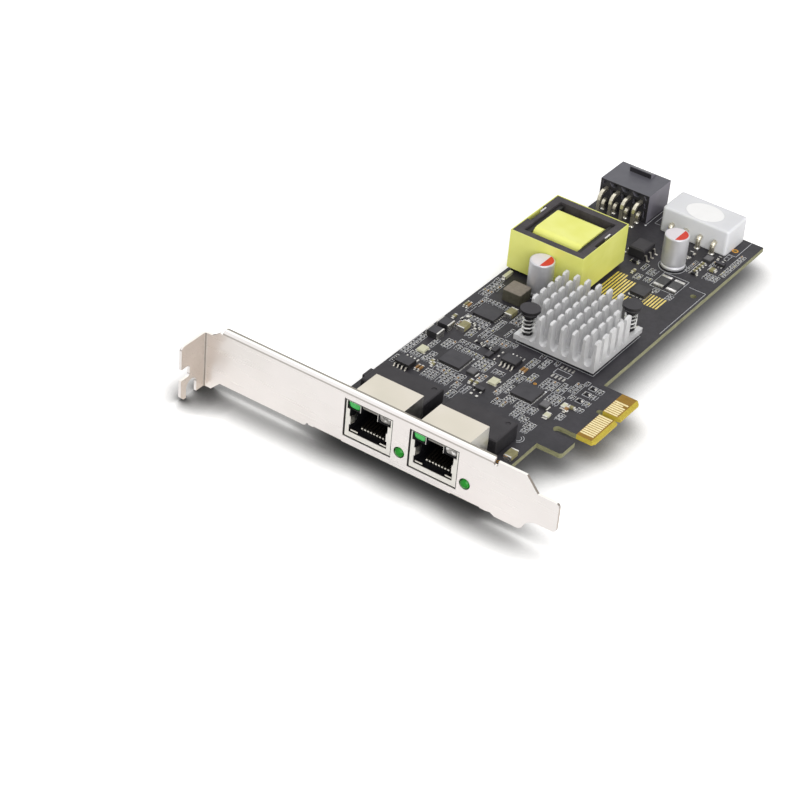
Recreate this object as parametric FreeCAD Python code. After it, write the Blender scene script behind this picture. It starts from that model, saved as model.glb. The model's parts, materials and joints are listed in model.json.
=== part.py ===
import FreeCAD, Part
import math
import os

# A dual-port network interface card that powers its ports: a printed circuit board on a folded
# steel bracket, lying component side up. X runs along the bracket from the screw tab to the tongue,
# Y runs from the bracket's front face back along the board, and Z is up. Millimetres.
# While the pieces are made, Z = 0 is the blade's lower edge. At the end everything is moved
# together, so that the origin is the centre of the bottom of the whole card's box.

V = FreeCAD.Vector

# Folded steel bracket
sheet = 0.86
blade_height = 18.42
blade_start = 7.45
tongue_end = 120.02
tongue_top = 13.95
tongue_bottom = 4.4
tongue_shoulder = 113.2
tongue_corner = 1.3
blade_shoulder = 109.3
lower_step_start = 36.8
lower_step_end = 101.0
lower_step = 0.75
lower_step_rise = 0.4
lower_step_run = 1.4
shoulder_lift = 0.2
shoulder_round = 0.8
tongue_curve = 1.9
flange_start = 8.0
flange_end = 98.9
flange_depth = 2.1
flange_relief = 1.5
flange_fold = 0.45
flange_corner = 0.75
window_width = 16.14
window_height = 12.78
window_bottom = 2.9
lamp_hole_radius = 1.75

# Screw tab of the bracket
tab_seat = 1.88
tab_fold = 0.7
tab_drop = 3.08
tab_reach = 10.6
tab_corner = 1.2
tab_slot_centre = 5.85
tab_slot_width = 4.6
tab_slot_top = 2.4
tab_notch_depth = 3.8
tab_notch_bottom = 4.0
tab_notch_top = 7.7
tab_prong_chamfer = 1.35
tab_notch_corner = 0.8
neck_slope = 2.4
neck_round = 0.8

# Ears that carry the board, and their screws
ear_width = 9.6
ear_depth = 14.2
ear_fold = 0.3
ear_edge = 0.35
ear_corner = 1.5
ear_seat_radius = 2.6
ear_centres = (45.4, 91.4)
screw_back = 10.4
screw_radius = 1.5
screw_clearance = 0.15
screw_length = 3.4
screw_head_radius = 2.75
screw_head_height = 1.9
screw_head_edge = 0.9
screw_recess_width = 0.7
screw_recess_length = 3.2
screw_recess_depth = 0.9

# Circuit board
board_top = 3.92
board_thickness = 1.57
board_left = 39.6
board_right = 94.6
board_front = 1.3
board_back = 165.07
hook_length = 8.0
hook_front = 31.0
hook_back = 39.0
hook_corner = 1.0
hook_slot_inset = 0.3
finger_length = 12.3
finger_front = 41.8
finger_back = 67.1
finger_chamfer = 0.9
finger_bevel = 1.1
finger_bevel_depth = 0.4
key_width = 1.9
key_centre = 55.2
key_depth = 7.4
tooling_hole = (91.4, 125.5)
tooling_hole_radius = 1.0
test_hole = (88.7, 157.2)
test_hole_radius = 0.55

# Gold edge contacts
contact_pitch = 1.0
contact_width = 0.7
contact_thickness = 0.04
contact_length = 4.4
contact_inset = 1.5
contact_side_inset = 1.95
contact_count = 18
contacts_before_key = 11
contact_gap_at_key = 3.0
short_contact = 16
short_contact_cut = 1.2

# Network ports: the low jack with its shield, contacts and two small lamps
port_centres = (58.51, 80.16)
port_width = 16.0
port_front = 0.3
port_depth = 14.6
port_top = 15.62
port_lip_bottom = 3.0
shield_sheet = 0.25
socket_width = 12.4
socket_floor = 5.0
socket_top = 12.4
socket_depth = 11.6
latch_width = 5.3
latch_top = 14.95
latch_depth = 9.0
lamp_pocket_inner = 2.95
lamp_pocket_outer = 7.25
lamp_pocket_top = 15.0
lamp_depth = 6.0
lamp_recess = 0.35
lamp_width = 3.7
lamp_corner = 1.1
lamp_lift = 0.3
frame_rim = 0.15
spring_tab_bottom = 7.3
spring_tab_height = 2.7
spring_tab_length = 3.2
spring_tab_bow = 0.5
spring_tab_sheet = 0.2
spring_tab_root = 0.2
spring_tab_turn = 0.32
spring_tab_tip_gap = 0.12
wire_count = 8
wire_pitch = 1.02
wire_width = 0.45
wire_thickness = 0.28
wire_nose = 2.6
wire_nose_round = 0.25
wire_nose_rise = 0.75
wire_rise = 7.35
wire_end = 9.6
comb_clearance = 0.08
comb_start = 0.6
comb_depth = 2.0
comb_height = 0.9

# Panel lamps beside the ports
panel_lamp_centres = (69.26, 90.8)
panel_lamp_height = 6.1
panel_lamp_radius = 1.6
panel_lamp_nose = 0.9
panel_lamp_rim = 0.3
panel_lamp_rim_depth = 0.6
panel_lamp_seat = 3.2
dome_steps = 4
holder_width = 4.3
holder_depth = 3.6
holder_above = 2.3
holder_chamfer = 0.5

# Isolation transformers for the network lines, one behind each port
lan_pitch = 24.75
magnetics_first = 43.8
magnetics_width = 20.7
magnetics_front = 17.4
magnetics_depth = 11.2
magnetics_top = 9.6
magnetics_lift = 0.3
magnetics_ear = 1.1
magnetics_ear_front = 19.7
magnetics_ear_back = 23.9
magnetics_ear_drop = 0.5
magnetics_chamfer = 0.35
magnetics_dimple_radius = 0.8
magnetics_dimple_depth = 0.2
magnetics_dimple_inset = 2.0
line_lead_count = 12
line_lead_pitch = 1.27
line_lead_width = 0.45

# Gull-wing leads
lead_thickness = 0.2
lead_root = 1.7
lead_knee = 0.55
lead_shin = 0.35
lead_foot = 0.9

# Heatsink over the bridge chip
heatsink_left = 62.6
heatsink_width = 27.5
heatsink_front = 68.3
heatsink_depth = 28.0
heatsink_bottom = 5.2
heatsink_base = 1.7
heatsink_top = 15.7
fin_columns = 8
fin_rows = 7
fin_tip = 0.9
fin_root = 1.2
fin_length = 2.65
fin_slope = 0.35
fin_slope_height = 0.6
groove_bottom = 6.65
bridge_chip_size = 15.0
bridge_chip_height = 1.0

# Sprung push pins that hold the heatsink
push_pin_inset_x = 2.9
push_pin_inset_y = 3.0
push_pin_head_radius = 3.1
push_pin_head_height = 0.9
push_pin_neck_radius = 2.3
push_pin_neck_height = 1.4
push_pin_radius = 1.25
push_pin_hole_clearance = 0.35
push_pin_barb_radius = 1.9
push_pin_barb_height = 1.9
push_pin_barb_slit = 0.6
push_pin_slit_above = 1.2
push_pin_barb_collar = 0.3
push_pin_neck_edge = 0.4
spring_radius = 1.85
spring_wire_radius = 0.26
spring_turns = 4.5
spring_steps = 8
spring_sides = 5

# Power transformer
core_left = 40.2
core_width = 25.2
core_front = 100.1
core_depth = 26.3
core_bottom = 5.0
core_top = 18.4
core_wall = 2.6
core_leg_width = 8.0
core_leg_height = 7.0
core_groove_width = 9.0
core_groove_depth = 1.3
tape_thickness = 0.3
tape_margin = 0.25
tape_above = 0.12
bobbin_flange = 1.5
bobbin_gap = 0.2
bobbin_tube_wall = 0.8
bobbin_flange_top = 17.6
bobbin_foot = 0.6
bobbin_rail_width = 3.6
bobbin_rail_margin = 0.7
bobbin_rail_inset = 1.0
winding_width = 16.2
winding_bottom = 5.3
winding_top = 18.2
winding_corner = 2.4
bobbin_pin_count = 5
bobbin_pin_pitch = 4.6
bobbin_pin_side = 0.8
bobbin_pin_tail = 1.2
bobbin_pin_top = 4.6
clip_width = 3.1
clip_sheet = 0.5
clip_above = 0.2

# Polymer capacitors
capacitor_spots = ((54.2, 95.85), (77.9, 136.2))
capacitor_radius = 3.9
capacitor_top = 15.6
capacitor_seal_height = 0.3
capacitor_seal_radius = 3.1
capacitor_foot = 0.3
capacitor_groove_height = 1.5
capacitor_groove_depth = 0.35
capacitor_edge = 0.35

# Power input header with two rows of pins
power_left = 41.05
power_width = 17.8
power_front = 152.4
power_depth = 13.6
power_height = 9.8
power_pitch = 4.2
power_columns = 4
power_pocket = 3.6
power_pocket_depth = 9.4
power_pin_side = 1.07
power_pin_inside = 7.6
power_upper_turn = 2.2
power_lower_turn = 1.1
power_upper_bend = 147.9
power_side_wall = 0.7
power_hollow_depth = 1.6
power_hollow_width = 1.9
power_hollow_heights = ((5.5, 7.8), (9.0, 10.8))
power_notch_heights = (11.9, 13.2)
power_notch_widths = (1.2, 3.0)
latch_ramp_left = 4.7
latch_ramp_width = 7.8
latch_ramp_height = 1.6
latch_ramp_front = 9.8
latch_ramp_crest = 0.5

# Drive power header with four round pins
drive_left = 64.1
drive_width = 23.6
drive_front = 152.2
drive_depth = 12.6
drive_corner = 0.9
drive_top_edge = 0.7
drive_height = 8.7
drive_wall = 1.3
drive_floor = 1.1
drive_cavity_depth = 9.6
drive_key_chamfer = 2.2
drive_pin_pitch = 5.08
drive_pin_count = 4
drive_pin_radius = 0.8
drive_pin_height = 7.4
drive_pin_inside = 7.6
drive_pin_turn = 1.1
pin_tail_below = 1.1
pin_turn_gap = 0.15
pin_turn_steps = 3

# Small parts soldered on the board
inductor_left = 47.75
inductor_front = 85.05
inductor_width = 6.45
inductor_depth = 6.4
inductor_height = 3.9
inductor_chamfer = 0.35
network_chip_first = (55.1, 49.2)
network_chip_size = 7.2
quad_chip_height = 0.85
power_chip = (49.3, 75.9)
power_chip_size = (7.2, 6.8)
crystal_first = (44.8, 47.5)
crystal_size = (2.4, 3.1)
crystal_height = 0.7
memory_spots = ((45.0, 38.2), (68.2, 58.9))
memory_size = (4.9, 3.9)
memory_height = 1.6
memory_lift = 0.15
memory_lead_count = 4
memory_pitch = 1.27
memory_lead_width = 0.42
diode_spots = ((43.2, 56.0), (43.2, 61.6))
diode_size = (4.3, 3.6)
diode_height = 2.2
diode_end = 0.5
coupler_left = 64.0
coupler_front = 132.5
coupler_width = 5.5
coupler_depth = 6.7
coupler_top = 7.4
coupler_lead_count = 3
coupler_pitch = 2.54
coupler_lead_width = 0.6
coupler_edge = 0.4
regulator = (78.1, 116.4)
regulator_size = (4.9, 5.1)
regulator_height = 1.1
shunt_spots = ((80.3, 126.1), (84.7, 126.1))
shunt_size = (3.3, 6.6)
shunt_height = 0.7
shunt_end = 1.1
ceramic_spots = ((92.4, 21.0), (47.7, 64.8), (54.6, 79.8))
ceramic_size = (2.4, 4.3)
ceramic_height = 1.5
ceramic_end = 0.5
line_choke_first = (62.2, 47.4)
drive_choke = (84.8, 146.9)
choke_size = (2.6, 2.8)
choke_height = 1.0
choke_chamfer = 0.25
transistor_spots = ((68.5, 41.6), (89.2, 146.5))
turned_transistor_spots = ((61.3, 61.0), (61.3, 57.5))
transistor_size = (2.9, 1.5)
transistor_height = 1.0

# Bare gold-plated copper of the power stage
copper_thickness = 0.05
copper_stripe = 0.55
copper_pitch = 1.02
copper_first = 66.6
copper_runs = ((4, 105.5, 122.3), (4, 105.5, 120.2), (3, 103.5, 112.2))
patch_first = 80.7
patch_count = 6
patch_front = 111.5
patch_back = 118.0
spare_pad_rows = (61.7, 67.0)
spare_pad_first = 80.6
spare_pad_count = 4
spare_pad_pitch = 1.27
spare_pad_size = (0.6, 1.6)

# How far the middle of a quarter circle lies from the corner it rounds, for a radius of one
corner_bulge = 1 - math.sqrt(0.5)

# Worked out from the sizes above
board_bottom = board_top - board_thickness
ear_top = lower_step + sheet
hook_reach = board_right + hook_length
finger_reach = board_right + finger_length
contact_end = finger_reach - contact_inset
contact_start = contact_end - contact_length
contact_first = finger_front + contact_side_inset
tail_end = board_bottom - pin_tail_below
port_back = port_front + port_depth
housing_front = port_front + shield_sheet
fin_pitch_x = (heatsink_width - fin_tip) / (fin_columns - 1)
fin_pitch_y = (heatsink_depth - fin_length) / (fin_rows - 1)
heatsink_right = heatsink_left + heatsink_width
heatsink_back = heatsink_front + heatsink_depth
heatsink_floor = heatsink_bottom + heatsink_base
heatsink_middle = (heatsink_left + heatsink_width / 2, heatsink_front + heatsink_depth / 2)
push_pin_spots = ((heatsink_left + push_pin_inset_x, heatsink_front + push_pin_inset_y),
                  (heatsink_right - push_pin_inset_x, heatsink_back - push_pin_inset_y))
push_pin_hole = push_pin_radius + push_pin_hole_clearance
core_right = core_left + core_width
core_back = core_front + core_depth
core_middle_x = core_left + core_width / 2
core_middle_y = core_front + core_depth / 2
core_middle_z = (winding_bottom + winding_top) / 2
bobbin_pin_columns = (core_left + bobbin_rail_margin + bobbin_rail_width / 2,
                      core_right - bobbin_rail_margin - bobbin_rail_width / 2)
bobbin_pin_rows = [core_middle_y + (i - (bobbin_pin_count - 1) / 2) * bobbin_pin_pitch
                   for i in range(bobbin_pin_count)]
power_middle = board_top + power_height / 2
power_upper = power_middle + power_pitch / 2
power_lower = power_middle - power_pitch / 2
power_back = power_front + power_depth
power_lower_bend = power_front - pin_turn_gap - power_lower_turn
power_columns_x = [power_left + power_width / 2 + (i - (power_columns - 1) / 2) * power_pitch
                   for i in range(power_columns)]
drive_back = drive_front + drive_depth
drive_pin_bend = drive_front - pin_turn_gap - drive_pin_turn
drive_pins_x = [drive_left + drive_width / 2 + (i - (drive_pin_count - 1) / 2) * drive_pin_pitch
                for i in range(drive_pin_count)]


# Building blocks

def box(x0, x1, y0, y1, z0, z1):
    return Part.makeBox(x1 - x0, y1 - y0, z1 - z0, V(x0, y0, z0))


def block(spot, size, z0, z1):
    """A box centred over a spot on the board."""
    x, y = spot
    width, depth = size
    return box(x - width / 2, x + width / 2, y - depth / 2, y + depth / 2, z0, z1)


def post(x, y, radius, z0, z1):
    return Part.makeCylinder(radius, z1 - z0, V(x, y, z0))


def rod(x, z, radius, y0, y1):
    """A round bar along Y."""
    return Part.makeCylinder(radius, y1 - y0, V(x, y0, z), V(0, 1, 0))


def on_xy(z):
    return lambda a, b: V(a, b, z)


def on_xz(y):
    return lambda a, b: V(a, y, b)


def on_yz(x):
    return lambda a, b: V(x, a, b)


def face(path, place):
    """A face inside a closed path. (a, b) is a straight run, and (ma, mb, a, b) an arc through (ma, mb)."""
    here = place(*path[0])
    edges = []
    for step in list(path[1:]) + [path[0]]:
        end = place(*step[-2:])
        if len(step) == 4:
            edges.append(Part.Arc(here, place(*step[:2]), end).toShape())
        elif here.distanceToPoint(end) > 1e-6:
            edges.append(Part.LineSegment(here, end).toShape())
        here = end
    return Part.Face(Part.Wire(edges))


def prism(path, place, along):
    return face(path, place).extrude(along)


def bent_strip(path, thickness, place, along):
    """A strip folded along a line of points, with mitred folds."""
    near = []
    far = []
    for i, (a, b) in enumerate(path):
        turns = []
        for j in (i - 1, i):
            if 0 <= j < len(path) - 1:
                da = path[j + 1][0] - path[j][0]
                db = path[j + 1][1] - path[j][1]
                run = math.hypot(da, db)
                turns.append((-db / run, da / run))
        na = sum(t[0] for t in turns) / len(turns)
        nb = sum(t[1] for t in turns) / len(turns)
        scale = thickness / 2 / (na * na + nb * nb)
        near.append((a + na * scale, b + nb * scale))
        far.append((a - na * scale, b - nb * scale))
    return prism(near + far[::-1], place, along)


def edges_at(shape, along, spots, reach=0.02):
    """The straight edges along one axis that pass through any of the spots."""
    index = "xyz".index(along)
    others = [k for k in range(3) if k != index]
    found = []
    for edge in shape.Edges:
        ends = [v.Point for v in edge.Vertexes]
        if len(ends) != 2:
            continue
        if any(abs(ends[0][k] - ends[1][k]) > reach for k in others):
            continue
        for spot in spots:
            if all(abs(ends[0][k] - s) < reach for k, s in zip(others, spot)):
                found.append(edge)
    return found


def top_edges(shape, z, reach=0.02):
    """The edges that lie at one height."""
    return [e for e in shape.Edges if all(abs(v.Z - z) < reach for v in e.Vertexes)]


def round_at(shape, along, spots, radius):
    return shape.makeFillet(radius, edges_at(shape, along, spots))


def group(solids):
    return Part.makeCompound(list(solids))


def union(shapes):
    shapes = list(shapes)
    return shapes[0].multiFuse(shapes[1:]).removeSplitter()


def lan_spots(first):
    """The same place on each of the two network channels."""
    return [(first[0] + i * lan_pitch, first[1]) for i in range(len(port_centres))]


def gull_lead(edge, side, z_root, place, across):
    """One lead from a body's side: out, down to the board, and a foot. side is +1 or -1."""
    foot_z = board_top + lead_thickness / 2
    path = [(edge, z_root),
            (edge + side * lead_knee, z_root),
            (edge + side * (lead_knee + lead_shin), foot_z),
            (edge + side * (lead_knee + lead_shin + lead_foot), foot_z)]
    return bent_strip(path, lead_thickness, place, across)


# Bracket

def bracket_blade():
    """The flat sheet from the screw tab's fold to the tongue, with its cut-outs."""
    fold_end = tab_seat + tab_fold
    flange_line = blade_height - sheet - flange_fold
    neck_top = blade_height - tab_drop
    step_top = lower_step + lower_step_rise
    step_curve = (lower_step_start + 2.5 * lower_step_rise, lower_step - lower_step_rise)
    path = [
        (fold_end, -tab_drop),
        (blade_start - tab_drop, -tab_drop),
        (blade_start, 0),
        (lower_step_start, 0),
        step_curve + (lower_step_start + lower_step_run, step_top),
        (lower_step_start + lower_step_run + lower_step_rise, step_top),
        (lower_step_start + lower_step_run + 2 * lower_step_rise, lower_step),
        (lower_step_end - 2 * lower_step_run, lower_step),
        (lower_step_end - lower_step_run, lower_step + lower_step_rise / 2),
        (lower_step_end, shoulder_lift),
        (blade_shoulder - shoulder_round, shoulder_lift),
        (blade_shoulder + shoulder_round / 2, shoulder_lift + shoulder_round),
        (tongue_shoulder - tongue_curve, tongue_bottom - tongue_curve / 2,
         tongue_shoulder + tongue_curve / 2, tongue_bottom),
        (tongue_end, tongue_bottom),
        (tongue_end, tongue_top),
        (tongue_shoulder, tongue_top),
        (blade_shoulder, blade_height),
        (flange_end + flange_relief, blade_height),
        (flange_end + flange_relief, flange_line),
        (flange_end + flange_relief / 2, flange_line - flange_relief / 4, flange_end, flange_line),
        (flange_start, flange_line),
        (blade_start - neck_round / 2, flange_line + neck_round / 4),
        (blade_start - neck_slope, neck_top + neck_round / 2),
        (blade_start - neck_slope - neck_round, neck_top),
        (fold_end, neck_top),
    ]
    blade = prism(path, on_xz(0), V(0, sheet, 0))
    blade = round_at(blade, "y", [(tongue_end, tongue_bottom), (tongue_end, tongue_top)], tongue_corner)
    for x in port_centres:
        blade = blade.cut(box(x - window_width / 2, x + window_width / 2, -1, 2,
                              window_bottom, window_bottom + window_height))
    for x in panel_lamp_centres:
        blade = blade.cut(rod(x, panel_lamp_height, lamp_hole_radius, -1, 2))
    for x in ear_centres:
        blade = blade.cut(box(x - ear_width / 2, x + ear_width / 2, -1, 2,
                              lower_step - 1, ear_top + ear_fold))
    return blade


def fold(centre, inner, start, place, along):
    """A quarter turn of sheet about a centre. start is its first angle, in degrees."""
    def at(radius, part):
        turn = math.radians(start) + part * math.pi / 2
        return (centre[0] + radius * math.cos(turn), centre[1] + radius * math.sin(turn))
    outer = inner + sheet
    path = [at(inner, 0), at(outer, 0), at(outer, 0.5) + at(outer, 1), at(inner, 1),
            at(inner, 0.5) + at(inner, 0)]
    return prism(path, place, along)


def bracket_flange():
    """The stiffening flange folded back along the top edge."""
    centre = (sheet + flange_fold, blade_height - sheet - flange_fold)
    length = flange_end - flange_start
    bend = fold(centre, flange_fold, 90, on_yz(flange_start), V(length, 0, 0))
    plate = box(flange_start, flange_end, centre[0], flange_depth, blade_height - sheet, blade_height)
    plate = round_at(plate, "z", [(flange_start, flange_depth), (flange_end, flange_depth)], flange_corner)
    return [bend, plate]


def bracket_tab():
    """The screw tab folded forward, with its open slot for the case screw."""
    bottom = -tab_drop
    top = blade_height - tab_drop
    bend = fold((tab_seat + tab_fold, -tab_fold), tab_fold, 90, on_xy(bottom), V(0, 0, top - bottom))
    plate = box(tab_seat - sheet, tab_seat, -tab_reach, -tab_fold, bottom, top)
    plate = round_at(plate, "x", [(-tab_reach, top)], tab_corner)
    radius = tab_slot_width / 2
    slot = box(tab_seat - 2, tab_seat + 1, -tab_slot_centre - radius, -tab_slot_centre + radius,
               bottom - 1, tab_slot_top - radius)
    arch = Part.makeCylinder(radius, 3, V(tab_seat - 2, -tab_slot_centre, tab_slot_top - radius), V(1, 0, 0))
    notch = box(tab_seat - 2, tab_seat + 1, -tab_reach - 1, -tab_reach + tab_notch_depth,
                tab_notch_bottom, tab_notch_top)
    notch = round_at(notch, "x", [(-tab_reach + tab_notch_depth, tab_notch_bottom),
                                  (-tab_reach + tab_notch_depth, tab_notch_top)], tab_notch_corner)
    corner = prism([(-tab_reach, bottom), (-tab_reach, bottom + tab_prong_chamfer),
                    (-tab_reach + tab_prong_chamfer, bottom)], on_yz(tab_seat - 2), V(3, 0, 0))
    plate = plate.cut(group([slot, arch, notch, corner]))
    return [bend, plate]


def bracket_ear(x):
    """An ear folded back under the board, with a raised and threaded seat for its screw."""
    left = x - ear_width / 2
    path = [(0, ear_top + ear_fold),
            (0, lower_step + ear_edge),
            (ear_edge * corner_bulge, lower_step + ear_edge * corner_bulge, ear_edge, lower_step),
            (ear_depth, lower_step),
            (ear_depth, ear_top),
            (sheet + ear_fold, ear_top),
            (sheet + ear_fold * corner_bulge, ear_top + ear_fold * corner_bulge, sheet, ear_top + ear_fold)]
    plate = prism(path, on_yz(left), V(ear_width, 0, 0))
    plate = round_at(plate, "z", [(left, ear_depth), (left + ear_width, ear_depth)], ear_corner)
    ear = union([plate, post(x, screw_back, ear_seat_radius, ear_top, board_bottom)])
    return ear.cut(post(x, screw_back, screw_radius, 0, board_top))


def mounting_bracket():
    pieces = [bracket_blade()] + bracket_flange() + bracket_tab()
    pieces += [bracket_ear(x) for x in ear_centres]
    return union(pieces)


def pan_screw(x, y):
    """A pan-head screw with a cross recess, its head on the board."""
    head_top = board_top + screw_head_height
    path = [(0, board_top - screw_length),
            (screw_radius, board_top - screw_length),
            (screw_radius, board_top),
            (screw_head_radius, board_top),
            (screw_head_radius, head_top - screw_head_edge),
            (screw_head_radius - screw_head_edge, head_top),
            (0, head_top)]
    screw = face(path, on_xz(0)).revolve(V(0, 0, 0), V(0, 0, 1), 360)
    half_long = screw_recess_length / 2
    half_wide = screw_recess_width / 2
    floor = head_top - screw_recess_depth
    screw = screw.cut(box(-half_long, half_long, -half_wide, half_wide, floor, head_top + 1))
    screw = screw.cut(box(-half_wide, half_wide, -half_long, half_long, floor, head_top + 1))
    return screw.translated(V(x, y, 0))


def bracket_screws():
    return group(pan_screw(x, screw_back) for x in ear_centres)


# Circuit board

def circuit_board():
    slot_radius = (finger_front - hook_back) / 2
    slot_end = board_right - hook_slot_inset
    key_low = key_centre - key_width / 2
    key_high = key_centre + key_width / 2
    key_end = finger_reach - key_depth
    path = [
        (board_left, board_front),
        (board_right, board_front),
        (board_right, hook_front),
        (hook_reach, hook_front),
        (hook_reach, hook_back),
        (slot_end + slot_radius, hook_back),
        (slot_end, hook_back + slot_radius, slot_end + slot_radius, finger_front),
        (finger_reach - finger_chamfer, finger_front),
        (finger_reach, finger_front + finger_chamfer),
        (finger_reach, key_low),
        (key_end + key_width / 2, key_low),
        (key_end, key_centre, key_end + key_width / 2, key_high),
        (finger_reach, key_high),
        (finger_reach, finger_back - finger_chamfer),
        (finger_reach - finger_chamfer, finger_back),
        (board_right, finger_back),
        (board_right, board_back),
        (board_left, board_back),
    ]
    board = prism(path, on_xy(board_bottom), V(0, 0, board_thickness))
    board = round_at(board, "z", [(hook_reach, hook_front), (hook_reach, hook_back)], hook_corner)
    for z, side in ((board_bottom, 1), (board_top, -1)):
        bevel = prism([(finger_reach, z), (finger_reach, z + side * finger_bevel_depth),
                       (finger_reach - finger_bevel, z)], on_xz(finger_front - 1),
                      V(0, finger_back - finger_front + 2, 0))
        board = board.cut(bevel)
    return board.cut(group(board_holes()))


def board_holes():
    """Screw, push pin, tooling and pin holes through the board."""
    low = board_bottom - 1
    high = board_top + 1
    holes = [post(x, screw_back, screw_radius + screw_clearance, low, high) for x in ear_centres]
    holes += [post(x, y, push_pin_hole, low, high) for x, y in push_pin_spots]
    holes.append(post(tooling_hole[0], tooling_hole[1], tooling_hole_radius, low, high))
    holes.append(post(test_hole[0], test_hole[1], test_hole_radius, low, high))
    holes += [post(x, drive_pin_bend, drive_pin_radius, low, high) for x in drive_pins_x]
    for y in (power_upper_bend, power_lower_bend):
        holes += [block((x, y), (power_pin_side, power_pin_side), low, high) for x in power_columns_x]
    for x in bobbin_pin_columns:
        holes += [block((x, y), (bobbin_pin_side, bobbin_pin_side), low, high) for y in bobbin_pin_rows]
    return holes


def edge_contacts(z0):
    """The gold fingers on one face of the board, with the gap for the key."""
    pads = []
    for i in range(contact_count):
        y = contact_first + i * contact_pitch
        if i >= contacts_before_key:
            y += contact_gap_at_key - contact_pitch
        end = contact_end
        if i == short_contact:
            end -= short_contact_cut
        pads.append(box(contact_start, end, y - contact_width / 2, y + contact_width / 2,
                        z0, z0 + contact_thickness))
    return group(pads)


def exposed_copper():
    """Bare plated stripes of the power stage, and the pads of an empty footprint."""
    top = board_top + copper_thickness
    pads = []
    x = copper_first
    for count, front, back in copper_runs:
        for _ in range(count):
            pads.append(box(x, x + copper_stripe, front, back, board_top, top))
            x += copper_pitch
    for i in range(patch_count):
        x = patch_first + i * copper_pitch
        pads.append(box(x, x + copper_stripe, patch_front, patch_back, board_top, top))
    for y in spare_pad_rows:
        for i in range(spare_pad_count):
            pads.append(block((spare_pad_first + i * spare_pad_pitch, y), spare_pad_size, board_top, top))
    return group(pads)


# Network ports

def port_opening(x, grow, y0, y1):
    """The mouth of a port: the plug's way in, the latch's slot above it, and the two lamp corners."""
    half = socket_width / 2 + grow
    return [box(x - half, x + half, y0, y1, socket_floor - grow, socket_top + grow),
            box(x - latch_width / 2 - grow, x + latch_width / 2 + grow, y0, y1, socket_top, latch_top + grow)]


def lamp_profile(x, side):
    """A small lamp's section: flat on top, with rounded lower corners."""
    inner = x + side * (lamp_pocket_inner + (lamp_pocket_outer - lamp_pocket_inner - lamp_width) / 2)
    outer = inner + side * lamp_width
    low = socket_top + lamp_lift
    bulge = lamp_corner * corner_bulge
    return [(inner, lamp_pocket_top),
            (inner, low + lamp_corner),
            (inner + side * bulge, low + bulge, inner + side * lamp_corner, low),
            (outer - side * lamp_corner, low),
            (outer - side * bulge, low + bulge, outer, low + lamp_corner),
            (outer, lamp_pocket_top)]


def port_lamp(x, side):
    return prism(lamp_profile(x, side), on_xz(housing_front + lamp_recess),
                 V(0, lamp_depth - lamp_recess, 0))


def port_housing(x):
    """The moulded body with the socket, the latch slot, the lamp pockets and the wires' comb."""
    half = port_width / 2 - shield_sheet
    body = box(x - half, x + half, housing_front, port_back - shield_sheet,
               board_top, port_top - shield_sheet)
    socket, latch = port_opening(x, 0, housing_front - 1, housing_front + socket_depth)
    latch = latch.common(box(x - half, x + half, 0, housing_front + latch_depth, 0, port_top))
    pockets = [prism(lamp_profile(x, side), on_xz(housing_front - 1), V(0, lamp_depth + 1, 0))
               for side in (-1, 1)]
    body = body.cut(group([socket, latch] + pockets))
    comb = []
    rib = (wire_pitch - wire_width) / 2 - comb_clearance
    start = housing_front + wire_nose + comb_start
    for i in range(wire_count + 1):
        rib_x = x + (i - wire_count / 2) * wire_pitch
        comb.append(box(rib_x - rib, rib_x + rib, start, start + comb_depth,
                        socket_floor, socket_floor + comb_height))
    return union([body] + comb)


def port_shield(x):
    """The folded tin shield: top, sides, back and the pierced frame round the mouth."""
    half = port_width / 2
    outer = box(x - half, x + half, port_front, port_back, board_top, port_top)
    inner = box(x - half + shield_sheet, x + half - shield_sheet, housing_front, port_back - shield_sheet,
                board_top - 1, port_top - shield_sheet)
    lip = box(x - half, x + half, port_front, housing_front, port_lip_bottom, board_top)
    shell = union([outer.cut(inner), lip])
    mouth = port_opening(x, frame_rim, port_front - 1, housing_front)
    lamps = [box(x + min(side * lamp_pocket_inner, side * lamp_pocket_outer),
                 x + max(side * lamp_pocket_inner, side * lamp_pocket_outer),
                 port_front - 1, housing_front, socket_top, lamp_pocket_top) for side in (-1, 1)]
    shell = shell.cut(group(mouth + lamps))
    for side in (-1, 1):
        shell = union([shell, shield_spring(x, side)])
    return shell


def shield_spring(x, side):
    """A spring tab that folds in from the frame along the socket's wall."""
    wall = x + side * (socket_width / 2)
    root = x + side * (socket_width / 2 + frame_rim)
    path = [(root + side * spring_tab_root, port_front + spring_tab_sheet / 2),
            (root - side * spring_tab_turn, port_front + spring_tab_sheet / 2),
            (wall - side * spring_tab_bow, port_front + spring_tab_length / 2),
            (wall - side * spring_tab_tip_gap, port_front + spring_tab_length)]
    return bent_strip(path, spring_tab_sheet, on_xy(spring_tab_bottom), V(0, 0, spring_tab_height))


def port_wires(x):
    """Eight sprung contact wires that rise from the socket's floor towards the back."""
    nose = housing_front + wire_nose
    floor = socket_floor + wire_thickness / 2
    back = housing_front + socket_depth
    path = [(back, floor),
            (nose, floor),
            (nose - wire_nose_round, floor + wire_nose_rise / 2),
            (nose, floor + wire_nose_rise),
            (housing_front + wire_end, wire_rise)]
    wires = []
    for i in range(wire_count):
        left = x + (i - (wire_count - 1) / 2) * wire_pitch - wire_width / 2
        wires.append(bent_strip(path, wire_thickness, on_yz(left), V(wire_width, 0, 0)))
    return group(wires)


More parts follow.
